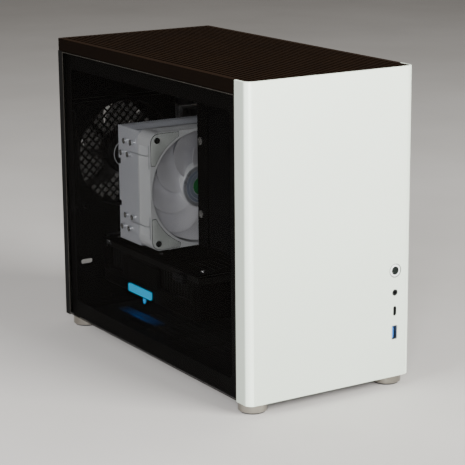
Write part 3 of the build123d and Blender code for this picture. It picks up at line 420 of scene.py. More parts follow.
def glow_material():
    """Painted reflection of the card's light bar on the case floor: a dim blue glow that thins out towards both ends,
    as on a lit strip seen through dark glass.
    """
    m, nt, b = new_mat("painted_bar_reflection")
    v = coords(nt)
    sep = add(nt, "ShaderNodeSeparateXYZ")
    nt.links.new(v, sep.inputs[0])
    a = math_n(nt, "MULTIPLY", ramp(nt, sep.outputs["Y"], 0.080, 0.110), ramp(nt, sep.outputs["Y"], 0.163, 0.125))
    n = ramp(nt, noise(nt, coords(nt, (1, 0.35, 1)), 170.0, 4.0, 0.65), 0.30, 0.68, 0.15, 1.0)
    st = math_n(nt, "MULTIPLY", math_n(nt, "MULTIPLY", a, n), 0.40)
    b.inputs["Base Color"].default_value = (0.01, 0.02, 0.04, 1)
    b.inputs["Emission Color"].default_value = (0.0, 0.15, 0.60, 1)
    nt.links.new(st, b.inputs["Emission Strength"])
    nt.links.new(ramp(nt, n, 0, 1, 0.3, 0.5), b.inputs["Roughness"])
    return m


# emissive material that paints the light bar's reflection on the case floor
M["glow"] = glow_material()

ASSIGN = {
    "front": ["front_panel"], "button_metal": ["power_button"], "bare": ["front_panel_studs"], "cover": ["top_cover"], "filter": ["top_filter"],
    "glass": ["glass_panel"], "screw": ["glass_studs", "right_studs", "fan_screws", "case_screws"], "clip_wire": ["fan_clips"],
    "panel_black": ["right_panel", "base_plate"],
    "steel_black": ["front_frame", "rear_panel", "motherboard_tray", "top_frame", "left_frame", "psu_bracket", "slot_covers"],
    "clip": ["panel_clips"], "foot": ["feet"], "rubber": ["foot_pads"], "dark_gloss": ["button_lens"], "pcb_green": ["front_io_board"],
    "port_black": ["audio_jack", "psu_switch", "psu_switch_bezel", "mains_inlets", "usb_c_socket"],
    "port_steel": ["usb_a_socket", "rear_io_ports", "io_shield", "gpu_bracket"],
    "psu": ["psu_case"], "fan_white": ["cooler_fan_frame"], "fan_black": ["rear_fan_frame", "psu_fan_frame"],
    "blade_clear": ["cooler_fan_rotor"], "blade_black": ["rear_fan_rotor", "psu_fan_rotor", "gpu_fan_front", "gpu_fan_rear"],
    "board": ["motherboard_pcb", "gpu_board"], "brass": ["standoffs"], "socket": ["cpu_socket", "board_sockets"], "cpu_lid": ["cpu"],
    "sink_grey": ["board_heatsinks"], "ram": ["ram_sticks"], "cable": ["atx_harness", "ac_extension"], "nickel": ["heat_pipes", "cooler_base"],
    "fins": ["fin_stack"], "card_fins": ["gpu_heatsink"], "card": ["gpu_backplate", "gpu_shroud"], "cyan": ["gpu_light_bar"],
}
for key, names in ASSIGN.items():
    for n in names:
        o = N[n]
        if not o.material_slots:
            o.data.materials.append(M[key])
        for s in o.material_slots:
            s.material = M[key]



def soften(name, width, segments=2, angle=38):
    """Rounded edges on a CAD node: weld the split corners, bevel, and weight the normals."""
    o = N[name]
    w = o.modifiers.new("weld", "WELD")
    w.merge_threshold = 0.000002
    b = o.modifiers.new("bevel", "BEVEL")
    b.width = width
    b.segments = segments
    b.limit_method = "ANGLE"
    b.angle_limit = math.radians(angle)
    b.use_clamp_overlap = True
    n = o.modifiers.new("normals", "WEIGHTED_NORMAL")
    n.keep_sharp = False
    n.weight = 60


for nm, wd in (("glass_panel", 0.0004), ("right_panel", 0.0003), ("psu_case", 0.0004), ("cooler_fan_frame", 0.0003),
               ("rear_fan_frame", 0.0004), ("gpu_shroud", 0.0004), ("gpu_backplate", 0.0002), ("ram_sticks", 0.0003), ("board_heatsinks", 0.0003),
               ("feet", 0.0004), ("power_button", 0.00035), ("psu_switch", 0.0004)):
    soften(nm, wd)


# ------------------------------------------------------------------ mesh helpers
def link(name, bm, mat, body, smooth=35.0, slot=None):
    me = bpy.data.meshes.new(name)
    bmesh.ops.recalc_face_normals(bm, faces=bm.faces)
    bm.to_mesh(me)
    bm.free()
    o = bpy.data.objects.new(name, me)
    bpy.context.collection.objects.link(o)
    for m in (mat if isinstance(mat, (list, tuple)) else [mat]):
        me.materials.append(m)
    for p in me.polygons:
        p.use_smooth = True
    me.set_sharp_from_angle(angle=math.radians(smooth))
    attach(o, body)
    return o


def lathe(bm, profile, seg=48, mat=0, mx=Matrix.Identity(4)):
    """Closed solid of revolution about local z. profile is (r, z) from the axis at one end to the axis at the other."""
    rings = []
    for r, z in profile:
        if r < 1e-9:
            rings.append([bm.verts.new(mx @ Vector((0, 0, z)))])
        else:
            rings.append([bm.verts.new(mx @ Vector((r * math.cos(a), r * math.sin(a), z))) for a in (2 * math.pi * k / seg for k in range(seg))])
    for a, b in zip(rings, rings[1:]):
        for k in range(seg):
            j = (k + 1) % seg
            if len(a) == 1 and len(b) == 1:
                continue
            if len(a) == 1:
                f = bm.faces.new((a[0], b[k], b[j]))
            elif len(b) == 1:
                f = bm.faces.new((a[k], a[j], b[0]))
            else:
                f = bm.faces.new((a[k], a[j], b[j], b[k]))
            f.material_index = mat
    return rings


def rbox(bm, lo, hi, r=0.0005, seg=2, mat=0, mx=Matrix.Identity(4)):
    """Box with rounded edges."""
    tmp = bmesh.new()
    bmesh.ops.create_cube(tmp, size=1.0)
    c = [(a + b) / 2 for a, b in zip(lo, hi)]
    d = [abs(b - a) for a, b in zip(lo, hi)]
    for v in tmp.verts:
        v.co = Vector((v.co.x * d[0] + c[0], v.co.y * d[1] + c[1], v.co.z * d[2] + c[2]))
    r = min(r, min(d) * 0.45)
    bmesh.ops.bevel(tmp, geom=list(tmp.edges), offset=r, segments=seg, profile=0.5, affect="EDGES", clamp_overlap=True)
    off = [bm.verts.new(mx @ v.co) for v in tmp.verts]
    for f in tmp.faces:
        g = bm.faces.new([off[v.index] for v in f.verts])
        g.material_index = mat
    tmp.free()


def axis_matrix(origin, z_dir, x_dir=(1, 0, 0)):
    z = Vector(z_dir).normalized()
    x = Vector(x_dir)
    x = (x - z * x.dot(z)).normalized()
    y = z.cross(x)
    m = Matrix((x, y, z)).transposed().to_4x4()
    m.translation = Vector(origin)
    return m


def rotor(name, body, node, origin, z_dir, hub_r, tip_r, depth, count, mat, hub_mat, wrap=52.0, sweep=26.0, lean=0.55, ring=None, slot=None):
    """Moulded fan rotor: curved, twisted blades that taper at the edges, on a domed hub. z = 0 is the hub's front."""
    mx = axis_matrix(origin, z_dir)
    bm = bmesh.new()
    nr, nc = 12, 12
    for b in range(count):
        base = 2 * math.pi * b / count
        top, bot = [], []
        for i in range(nr + 1):
            u = i / nr
            r = hub_r * 0.985 + (tip_r - hub_r * 0.985) * u
            span = math.radians(wrap) * (1.0 - 0.22 * u) * (9.0 / count) ** 0.35
            ta, ba = [], []
            for j in range(nc + 1):
                t = j / nc
                edge = 1.0
                tt = t
                if u > 0.85:                                     # rounded tips
                    q = (u - 0.85) / 0.15
                    tt = 0.5 + (t - 0.5) * (1.0 - 0.16 * q * q)
                a = base + span * (tt - 0.5) + math.radians(sweep) * u * u
                z = depth * (0.10 + 0.80 * (tt ** (1.0 + 0.35 * u))) * (1 - 0.12 * u) + 0.06 * depth * u
                th = 0.5 * (0.0016 * (1 - 0.45 * u)) * (0.25 + 0.75 * math.sin(math.pi * min(max(t, 0.02), 0.98)))
                p = Vector((r * math.cos(a), r * math.sin(a), z))
                nrm = Vector((-math.sin(a) * -lean, math.cos(a) * -lean, 1.0)).normalized()
                ta.append(bm.verts.new(mx @ (p - nrm * th)))
                ba.append(bm.verts.new(mx @ (p + nrm * th)))
            top.append(ta)
            bot.append(ba)
        for i in range(nr):
            for j in range(nc):
                bm.faces.new((top[i][j], top[i + 1][j], top[i + 1][j + 1], top[i][j + 1]))
                bm.faces.new((bot[i][j], bot[i][j + 1], bot[i + 1][j + 1], bot[i + 1][j]))
        for i in range(nr):
            for j in (0, nc):
                bm.faces.new((top[i][j], bot[i][j], bot[i + 1][j], top[i + 1][j]))
        for j in range(nc):
            for i in (0, nr):
                bm.faces.new((top[i][j], top[i][j + 1], bot[i][j + 1], bot[i][j]))
    h = depth
    prof = [(0, 0), (hub_r * 0.60, 0), (hub_r * 0.62, 0.0004), (hub_r * 0.66, 0.0004), (hub_r * 0.68, 0), (hub_r * 0.90, 0.0001), (hub_r * 0.97, 0.0007),
            (hub_r, 0.0018), (hub_r, h * 0.98), (hub_r - 0.0012, h * 0.98), (hub_r - 0.0012, 0.003), (0, 0.003)]
    lathe(bm, prof, 72, 1, mx)
    o = link(name, bm, [mat, hub_mat], body, 40, slot)
    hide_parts(node)
    return o


def head_screw(bm, origin, z_dir, r, h, shank_r, shank_l, mat=0, cross=True):
    """Pan-head screw with a cross recess, filled with a cross in material slot 1 that paints the shade inside it. z_dir
    points out of the head; origin is the seat.
    """
    mx = axis_matrix(origin, z_dir)
    k = 0.34
    lathe(bm, [(0, -shank_l), (shank_r * 0.8, -shank_l), (shank_r, -shank_l + 0.0004), (shank_r, 0), (r, 0), (r, h * 0.35), (r * 0.9, h * 0.75), (r * 0.62, h),
               (r * k, h), (r * k * 0.7, h * 0.55), (0, h * 0.45)], 28, mat, mx)
    if cross:
        for a in range(4):
            rot = Matrix.Rotation(math.pi / 2 * a, 4, "Z")
            rbox(bm, (r * k * 0.9, -r * 0.07, h * 0.55), (r * 0.62, r * 0.07, h * 1.005), 0.00005, 1, 1, mx @ rot)


def wire_ring(bm, c, R, r, axis="y", seg=72, sub=8, mat=0):
    rows = []
    for k in range(seg):
        a = 2 * math.pi * k / seg
        row = []
        for i in range(sub):
            b = 2 * math.pi * i / sub
            rr = R + r * math.cos(b)
            h = r * math.sin(b)
            if axis == "y":
                p = (c[0] + rr * math.cos(a), c[1] + h, c[2] + rr * math.sin(a))
            else:
                p = (c[0] + rr * math.cos(a), c[1] + rr * math.sin(a), c[2] + h)
            row.append(bm.verts.new(p))
        rows.append(row)
    for k in range(seg):
        for i in range(sub):
            f = bm.faces.new((rows[k][i], rows[(k + 1) % seg][i], rows[(k + 1) % seg][(i + 1) % sub], rows[k][(i + 1) % sub]))
            f.material_index = mat


def wire(bm, pts, r, sub=8, mat=0):
    """Round wire along points, with closed ends."""
    pts = [Vector(p) for p in pts]
    rows = []
    up = Vector((0.31, 0.52, 0.79))
    for i, p in enumerate(pts):
        t = (pts[min(i + 1, len(pts) - 1)] - pts[max(i - 1, 0)]).normalized()
        x = (up - t * up.dot(t)).normalized()
        y = t.cross(x)
        rows.append([bm.verts.new(p + x * r * math.cos(2 * math.pi * k / sub) + y * r * math.sin(2 * math.pi * k / sub)) for k in range(sub)])
        up = x
    for a, b in zip(rows, rows[1:]):
        for k in range(sub):
            j = (k + 1) % sub
            f = bm.faces.new((a[k], a[j], b[j], b[k]))
            f.material_index = mat
    for row in (rows[0], rows[-1]):
        bm.faces.new(row).material_index = mat


def smooth(pts, per=14):
    """Points on a soft curve through the given ones."""
    P = [Vector(p) for p in pts]
    P = [P[0] * 2 - P[1]] + P + [P[-1] * 2 - P[-2]]
    out = []
    for i in range(1, len(P) - 2):
        for k in range(per):
            t = k / per
            a, b, c, d = P[i - 1], P[i], P[i + 1], P[i + 2]
            out.append(0.5 * ((2 * b) + (c - a) * t + (2 * a - 5 * b + 4 * c - d) * t * t + (3 * b - a - 3 * c + d) * t ** 3))
    out.append(P[-2])
    return out


# ------------------------------------------------------------------ fans
rotor("cooler_rotor_blades", "cooler_rotor", "cooler_fan_rotor", (-0.018, 0.0196, 0.172), (0, 1, 0), 0.022, 0.0565, 0.018, 9, M["blade_clear"], M["fan_white"],
      wrap=60, sweep=30, slot="blades_clear")
rotor("rear_rotor_blades", "rear_rotor", "rear_fan_rotor", (-0.027, 0.1604, 0.184), (0, 1, 0), 0.022, 0.0565, 0.018, 7, M["smoke"], M["fan_black"],
      wrap=62, sweep=24, slot="blades_black")
rotor("psu_rotor_blades", "psu_rotor", "psu_fan_rotor", (0, -0.0756, 0.209), (0, -1, 0), 0.022, 0.0562, 0.018, 11, M["blade_black"], M["fan_black"],
      wrap=44, sweep=22, slot="blades_black")
rotor("gpu_front_blades", "gpu_rotor_front", "gpu_fan_front", (0.004, 0.028, 0.0442), (0, 0, 1), 0.016, 0.0423, 0.0115, 11, M["blade_black"], M["fan_black"],
      wrap=46, sweep=-26, slot="blades_black")
rotor("gpu_rear_blades", "gpu_rotor_rear", "gpu_fan_rear", (0.004, 0.126, 0.0442), (0, 0, 1), 0.016, 0.0423, 0.0115, 11, M["blade_black"], M["fan_black"],
      wrap=46, sweep=-26, slot="blades_black")

# ------------------------------------------------------------------ glass border, and a rim that paints the highlight on the polished edge
def rrect(y0, y1, z0, z1, r, n=8):
    """Rounded rectangle in Y and Z, as a list of points."""
    pts = []
    for cy, cz, a0 in ((y1 - r, z1 - r, 0), (y0 + r, z1 - r, 90), (y0 + r, z0 + r, 180), (y1 - r, z0 + r, 270)):
        for k in range(n + 1):
            a = math.radians(a0 + 90 * k / n)
            pts.append((cy + r * math.cos(a), cz + r * math.sin(a)))
    return pts


def ring_plate(name, outer, inner, x0, x1, mat, body):
    bm = bmesh.new()
    rows = [[bm.verts.new((x * MM, y * MM, z * MM)) for y, z in loop] for loop, x in ((outer, x0), (inner, x0), (inner, x1), (outer, x1))]
    n = len(outer)
    for a, b in ((0, 1), (1, 2), (2, 3), (3, 0)):
        for k in range(n):
            j = (k + 1) % n
            bm.faces.new((rows[a][k], rows[a][j], rows[b][j], rows[b][k]))
    return link(name, bm, mat, body)


ring_plate("glass_border", rrect(-163.0, 175.6, 11.4, 296.1, 1.5), rrect(-150.0, 163.5, 27.5, 279.5, 5.0), -88.75, -88.55, M["frit"], "glass_side")
# painted highlight: a lighter rim just inside the outer face, round the glass's edge
ring_plate("glass_edge_highlight", rrect(-163.3, 175.9, 11.1, 296.4, 1.0), rrect(-162.9, 175.1, 11.6, 295.9, 0.8), -92.48, -92.0, M["glass_edge_highlight"], "glass_side")


# ------------------------------------------------------------------ processor cooler
def poly_plate(bm, pts, y0, y1, mat=0, bevel=0.0003):
    """Plate in X and Z between y0 and y1 from a closed outline in metres."""
    tmp = bmesh.new()
    vs = [tmp.verts.new((x, y0, z)) for x, z in pts]
    f = tmp.faces.new(vs)
    ex = bmesh.ops.extrude_face_region(tmp, geom=[f])
    for v in ex["geom"]:
        if isinstance(v, bmesh.types.BMVert):
            v.co.y = y1
    bmesh.ops.recalc_face_normals(tmp, faces=tmp.faces)
    if bevel:
        edge = [e for e in tmp.edges if all(abs(v.co.y - min(y0, y1)) < 1e-7 for v in e.verts)]
        bmesh.ops.bevel(tmp, geom=edge, offset=bevel, segments=2, profile=0.5, affect="EDGES", clamp_overlap=True)
    tmp.verts.index_update()
    out = [bm.verts.new(v.co) for v in tmp.verts]
    for g in tmp.faces:
        h = bm.faces.new([out[v.index] for v in g.verts])
        h.material_index = mat
    tmp.free()


def pad_outline(sx, sz, grow=0.0):
    """Corner pad between the frame's corner and the duct, local to the fan's centre."""
    e, R = 58.8 + grow, 61.0 - grow
    pts = [(e, 27.5 - grow)]
    for k in range(7):
        a = math.radians(90 * k / 6)
        pts.append((e - 9 + 9 * math.cos(a), e - 9 + 9 * math.sin(a)))
    pts.append((27.5 - grow, e))
    a0, a1 = math.atan2(e, 27.5 - grow + 2), math.atan2(27.5 - grow + 2, e)
    for k in range(13):
        a = a0 + (a1 - a0) * k / 12
        pts.append((R * math.cos(a), R * math.sin(a)))
    return [(sx * x * MM, sz * z * MM) for x, z in pts]


CX, CZ = -0.018, 0.172
bm = bmesh.new()
bmo = bmesh.new()
for sx in (-1, 1):
    for sz in (-1, 1):
        o1 = [(x + CX, z + CZ) for x, z in pad_outline(sx, sz, 0.0)]
        o2 = [(x + CX, z + CZ) for x, z in pad_outline(sx, sz, 0.45)]
        poly_plate(bm, o1, 0.0161, 0.0170, 0, 0.0003)
        # a slightly larger near-black plate behind each pad paints the shade in the gap round it
        poly_plate(bmo, o2, 0.01675, 0.0170, 0, 0)
        hx, hz = CX + sx * 0.0525, CZ + sz * 0.0525
        # near-black ring and centre at each screw hole, the centre painting the shade in the hole
        lathe(bm, [(0, 0.0), (0.0017, 0.0), (0.0019, 0.0009), (0.0027, 0.0012), (0.0031, 0.0009), (0.0031, -0.0004), (0, -0.0004)], 24, 1,
              axis_matrix((hx, 0.0161, hz), (0, -1, 0)))
link("cooler_fan_pads", bm, [M["pad_white"], M["ink"]], "case")
link("cooler_fan_pad_gap_shade", bmo, M["ink"], "case")

# hub: silver rim, blue-grey ring and a green middle
mx = axis_matrix((-0.018, 0.0196, 0.172), (0, -1, 0))
bm = bmesh.new()
lathe(bm, [(0, 0.00005), (0.0094, 0.00005), (0.0095, 0.0003), (0.0092, 0.00042), (0, 0.00045)], 56, 0, mx)
link("cooler_hub_middle", bm, M["label_green"], "cooler_rotor")
bm = bmesh.new()
for ri, ro, hh in ((0.0098, 0.0138, 0.0003), (0.0142, 0.0172, 0.00035)):
    rings = lathe(bm, [(ri, 0.00002), (ri, hh), (ri + 0.0003, hh + 0.0001), (ro - 0.0003, hh + 0.0001), (ro, hh), (ro, 0.00002)], 72, 0, mx)
    for k in range(72):
        j = (k + 1) % 72
        bm.faces.new((rings[0][k], rings[0][j], rings[-1][j], rings[-1][k]))
link("cooler_hub_rings", bm, M["label_blue"], "cooler_rotor")
bm = bmesh.new()
rings = lathe(bm, [(0.0176, 0.00002), (0.0176, 0.0004), (0.0181, 0.00055), (0.0204, 0.00045), (0.0212, 0.0), (0.0212, -0.0008), (0.0176, -0.0008)], 72, 0, mx)
for k in range(72):
    j = (k + 1) % 72
    bm.faces.new((rings[0][k], rings[0][j], rings[-1][j], rings[-1][k]))
link("cooler_hub_rim", bm, M["hub_silver"], "cooler_rotor")

# thin spring wires that hold the fan
bm = bmesh.new()
for x in (-78.75, 42.75):
    for z in (136, 208):
        sx = 1 if x > 0 else -1
        wire(bm, smooth([((x - sx * 0.9) * MM, 57.0 * MM, z * MM), (x * MM, 55.6 * MM, z * MM), (x * MM, 40 * MM, z * MM), (x * MM, 24 * MM, (z + 0.6) * MM),
                         (x * MM, 19.6 * MM, (z + 2.2) * MM), (x * MM, 18.6 * MM, (z + 6) * MM), (x * MM, 18.4 * MM, (z + 11.5) * MM)], 6), 0.00055, 8)
        wire(bm, [(x * MM, 18.5 * MM, (z + 3.4) * MM), (x * MM, 18.4 * MM, (z - 3) * MM), (x * MM, 18.4 * MM, (z - 11.5) * MM)], 0.00055, 8)
o = link("fan_spring_wires", bm, M["clip_wire"], "case", slot="screw_steel")
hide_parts("fan_clips")

# domed heat-pipe tips
bm = bmesh.new()
for y, zt, zb in ((56, 217, 140), (70, 217, 140), (63, 204, 127), (77, 204, 127)):
    for z in (zt, zb):
        lathe(bm, [(0, -0.0004), (0.0029, -0.0004), (0.0030, 0.0005), (0.0028, 0.0014), (0.0020, 0.0023), (0.0011, 0.0029), (0.0007, 0.0034), (0, 0.0036)], 28, 0,
              axis_matrix((-0.079, y * MM, z * MM), (-1, 0, 0)))
link("heat_pipe_tips", bm, M["tip"], "case")

# folded tabs that join the fins along both ends of the stack, and bent front tabs
bm = bmesh.new()
for k in range(49):
    x = -76 + 2.2 * k
    for y in (48.5, 79.5):
        for z in (230.6, 113.0):
            rbox(bm, ((x + 0.35) * MM, (y - 2.4) * MM, z * MM), ((x + 2.25) * MM, (y + 2.4) * MM, (z + 0.42) * MM), 0.00012, 1)
link("fin_tabs", bm, M["fins"], "case")
bm = bmesh.new()
for z0, z1 in ((121, 134), (210, 223)):                     # embossed marks round the pipe ends on the outer fin
    for y in (49.5, 83.0):
        rbox(bm, (-76.28 * MM, (y - 0.5) * MM, z0 * MM), (-75.9 * MM, (y + 0.5) * MM, z1 * MM), 0.00015, 2)
for y, zt, zb in ((56, 217, 140), (70, 217, 140), (63, 204, 127), (77, 204, 127)):
    for z in (zt, zb):
        rings = lathe(bm, [(0.0031, 0.0), (0.0031, 0.0012), (0.0035, 0.0013), (0.0042, 0.0006), (0.0046, 0.0)], 28, 0, axis_matrix((-0.076, y * MM, z * MM), (-1, 0, 0)))
        for k in range(28):
            j = (k + 1) % 28
            bm.faces.new((rings[0][k], rings[0][j], rings[-1][j], rings[-1][k]))
link("fin_embossing", bm, M["fins"], "case")


# ------------------------------------------------------------------ other fans
bm = bmesh.new()
wire_ring(bm, (-0.027, 0.1601, 0.184), 0.0150, 0.00045)
link("rear_hub_ring", bm, M["white_ring"], "rear_rotor")
bm = bmesh.new()
lathe(bm, [(0, 0.00005), (0.0120, 0.00005), (0.0121, 0.0002), (0.0118, 0.0003), (0, 0.0003)], 48, 0, axis_matrix((-0.027, 0.1604, 0.184), (0, -1, 0)))
link("rear_hub_label", bm, M["chip"], "rear_rotor")

# wire guard over the power supply's fan
bm = bmesh.new()
for R_ in (14, 24, 34, 44, 54):
    wire_ring(bm, (0, -0.0708, 0.209), R_ * MM, 0.0008)
for a in (45, 135, 225, 315):
    c, sn = math.cos(math.radians(a)), math.sin(math.radians(a))
    pts = [(r * c * MM, -0.0708 - (0.0009 if r < 58 else 0.0), (209 + r * sn) * MM) for r in (12, 30, 50, 58, 66, 73)]
    wire(bm, pts, 0.0009)
    lathe(bm, [(0, 0), (0.0042, 0), (0.0042, 0.0006), (0.0036, 0.0016), (0.0012, 0.0017), (0.0008, 0.0009), (0, 0.0009)], 24, 0,
          axis_matrix((74.25 * c * MM, -0.0712, (209 + 74.25 * sn) * MM), (0, 1, 0)))
link("psu_fan_guard", bm, M["guard"], "case")

# hub discs of the card's two fans
for nm, body, y in (("gpu_front_hub_disc", "gpu_rotor_front", 0.028), ("gpu_rear_hub_disc", "gpu_rotor_rear", 0.126)):
    bm = bmesh.new()
    lathe(bm, [(0, -0.0003), (0.0112, -0.0003), (0.0114, -0.0001), (0.0114, 0.0002), (0, 0.0002)], 48, 0, axis_matrix((0.004, y, 0.0442), (0, 0, 1)))
    link(nm, bm, M["label_grey"], body)

# ------------------------------------------------------------------ main board parts
PX = 75.9
BUSY = [(42.5, 90.5, 143, 201), (36, 122, 236, 252), (118, 138, 132, 228), (-40, 5, 28, 72), (26, 108, 97, 119), (-1.5, 16, 98, 246), (35, 128, 83, 93),
        (35, 128, 22, 32), (-62.5, -50, 149, 203), (157, 184, 98, 248), (101, 115, 134, 229), (93, 101, 143, 219), (44, 110, 221, 234), (9, 32, 46, 70),
        (-62.5, -44, 90, 126), (-52, 120, 14, 20)]
for y in (-55, 22, 174):
    for z in (21, 96, 250):
        BUSY.append((y - 4.5, y + 4.5, z - 4.5, z + 4.5))


def on_board(bm, y, z, sy, sz, h, r=0.0004, mat=0, seg=2):
    rbox(bm, ((PX - h) * MM, (y - sy / 2) * MM, (z - sz / 2) * MM), ((PX - 0.02) * MM, (y + sy / 2) * MM, (z + sz / 2) * MM), r, seg, mat)


def can(bm, y, z, r, h, m_side, m_top):
    mx = axis_matrix((PX * MM, y * MM, z * MM), (-1, 0, 0))
    lathe(bm, [(0, 0.0001), (r * 1.04 * MM, 0.0001), (r * 1.04 * MM, 0.0008), (r * 0.96 * MM, 0.0011), (r * MM, 0.0015), (r * MM, (h - 0.6) * MM), (r * 0.94 * MM, h * MM),
               (r * 0.5 * MM, h * MM), (0, (h - 0.1) * MM)], 24, m_side, mx)
    # a near-black cross on the top paints the shade in the scored vent
    for a in range(2):
        rbox(bm, (-r * 0.62 * MM, -0.00012, (h - 0.05) * MM), (r * 0.62 * MM, 0.00012, (h + 0.06) * MM), 0.00004, 1, m_top, mx @ Matrix.Rotation(math.pi / 2 * a, 4, "Z"))


bm = bmesh.new()
for k in range(8):                                           # chokes beside and above the processor
    on_board(bm, 108, 141 + 11.3 * k, 8.6, 8.6, 7.5, 0.0012, 0, 3)
    on_board(bm, 108, 141 + 11.3 * k, 6.4, 6.4, 7.9, 0.0003, 1, 1)
for k in range(6):
    on_board(bm, 50 + 11 * k, 227.5, 8.6, 8.6, 7.5, 0.0012, 0, 3)
    on_board(bm, 50 + 11 * k, 227.5, 6.4, 6.4, 7.9, 0.0003, 1, 1)
link("board_chokes", bm, [M["chip"], M["sink_grey"]], "case")
bm = bmesh.new()
for k in range(9):
    can(bm, 97, 147 + 8.5 * k, 3.1, 8.2, 0, 1)
for y, z in ((140, 24), (148, 24), (156, 24), (140, 33), (148, 33), (-30, 88), (-22, 88), (-48, 215), (-48, 224), (28, 222), (28, 230), (20, 124), (146, 232), (146, 240)):
    can(bm, y, z, 2.6, 6.4, 0, 1)
link("board_capacitors", bm, [M["can"], M["ink"]], "case")
bm = bmesh.new()
for y, z, sy, sz, h in ((146, 62, 9, 9, 1.3), (150, 120, 9, 9, 1.2), (147, 152, 7, 7, 1.1), (-20, 100, 12, 12, 1.4), (-34, 120, 8, 6, 1.1), (-30, 235, 6, 6, 1.0), (60, 62, 10, 10, 1.3),
                      (92, 60, 6, 8, 1.1), (120, 52, 7, 7, 1.2), (146, 205, 6, 9, 1.1), (-15, 180, 5, 5, 1.0), (-25, 150, 8, 8, 1.2), (22, 135, 5, 5, 1.0), (28, 160, 4, 5, 1.0)):
    on_board(bm, y, z, sy, sz, h, 0.0002, 0, 2)
    n = int(sy // 1.3)
    for k in range(n):
        for sg in (-1, 1):
            yy = y - sy / 2 + (k + 0.5) * sy / n
            on_board(bm, yy, z + sg * (sz / 2 + 0.45), 0.4, 1.0, 0.35, 0.00008, 1, 1)
link("board_chips", bm, [M["chip"], M["bare"]], "case")
bm = bmesh.new()                                             # rows of pins along the lower edge, drive sockets at the front edge
for y0, cols in ((-44, 5), (-24, 9), (8, 5), (28, 4), (46, 10), (82, 5), (104, 5)):
    on_board(bm, y0 + cols * 1.27, 17, cols * 2.54, 5.0, 2.5, 0.0002, 0, 1)
    for c in range(cols):
        for rr in (-1, 1):
            on_board(bm, y0 + 1.27 + c * 2.54, 17 + rr * 1.27, 0.64, 0.64, 8.2, 0.00012, 1, 1)
for z in (98, 117):
    on_board(bm, -54, z, 15, 14, 9.5, 0.0005, 0, 2)
    for sg in (-1, 1):
        rbox(bm, ((PX - 11.6) * MM, -60.5 * MM, (z + sg * 3.4 - 0.7) * MM), ((PX - 9.4) * MM, -48 * MM, (z + sg * 3.4 + 0.7) * MM), 0.0002, 1, 0)
on_board(bm, -55, 225, 9, 20, 8.5, 0.0005, 0, 2)
link("board_headers", bm, [M["port_black"], M["gold"]], "case")
bm = bmesh.new()
mx = axis_matrix((PX * MM, 0.0205, 0.058), (-1, 0, 0))
lathe(bm, [(0, 0.0012), (0.0096, 0.0012), (0.0100, 0.0016), (0.0100, 0.0040), (0.0095, 0.0044), (0.0060, 0.0044), (0.0058, 0.0043), (0, 0.0043)], 56, 0, mx)
lathe(bm, [(0, 0.0001), (0.0112, 0.0001), (0.0112, 0.0012), (0, 0.00125)], 40, 1, mx)
link("board_cell", bm, [M["nickel"], M["port_black"]], "case")
bm = bmesh.new()                                             # small surface parts
for _ in range(420):
    y, z = rnd.uniform(-60, 155), rnd.uniform(22, 255)
    if any(a - 1.5 < y < b + 1.5 and c - 1.5 < z < d + 1.5 for a, b, c, d in BUSY):
        continue
    w, l = rnd.choice(((1.0, 0.6), (1.6, 0.8), (2.0, 1.25), (3.2, 1.6)))
    if rnd.random() < 0.5:
        w, l = l, w
    h = min(w, l) * 0.55
    on_board(bm, y, z, w, l, h, 0.00006, rnd.choice((0, 0, 1)), 1)
    if w > l:
        for sg in (-1, 1):
            on_board(bm, y + sg * w * 0.42, z, w * 0.2, l * 1.03, h * 1.05, 0.00004, 2, 1)
    else:
        for sg in (-1, 1):
            on_board(bm, y, z + sg * l * 0.42, w * 1.03, l * 0.2, h * 1.05, 0.00004, 2, 1)
link("board_small_parts", bm, [M["chip"], M["brass_dull"], M["bare"]], "case")
bm = bmesh.new()
for y in (-55, 22, 174):
    for z in (21, 96, 250):
        head_screw(bm, ((PX - 1.8) * MM, y * MM, z * MM), (-1, 0, 0), 0.0029, 0.0011, 0.001, 0.0005)
for y, z in ((-36, 32), (1, 68), (30, 108), (104, 108)):
    head_screw(bm, ((PX - 7.0) * MM, y * MM, z * MM), (-1, 0, 0), 0.0022, 0.0008, 0.001, 0.0006)
link("board_screws", bm, [M["screw"], M["ink"]], "case")

# memory: pressed steps along each heat spreader
bm = bmesh.new()
for y in (2.5, 12.0):
    for sg in (-1, 1):
        yo = y + sg * 3.0
        rbox(bm, (45.5 * MM, (yo - 0.25) * MM, 112 * MM), (62 * MM, (yo + 0.25) * MM, 232 * MM), 0.0002, 2)
        for k in range(5):
            z = 122 + 25 * k
            rbox(bm, (47.5 * MM, (yo - 0.5) * MM, (z - 8) * MM), (59.5 * MM, (yo + 0.5) * MM, (z + 8) * MM), 0.00035, 2, 1)
link("memory_spreaders", bm, [M["ram"], M["sink_grey"]], "case")

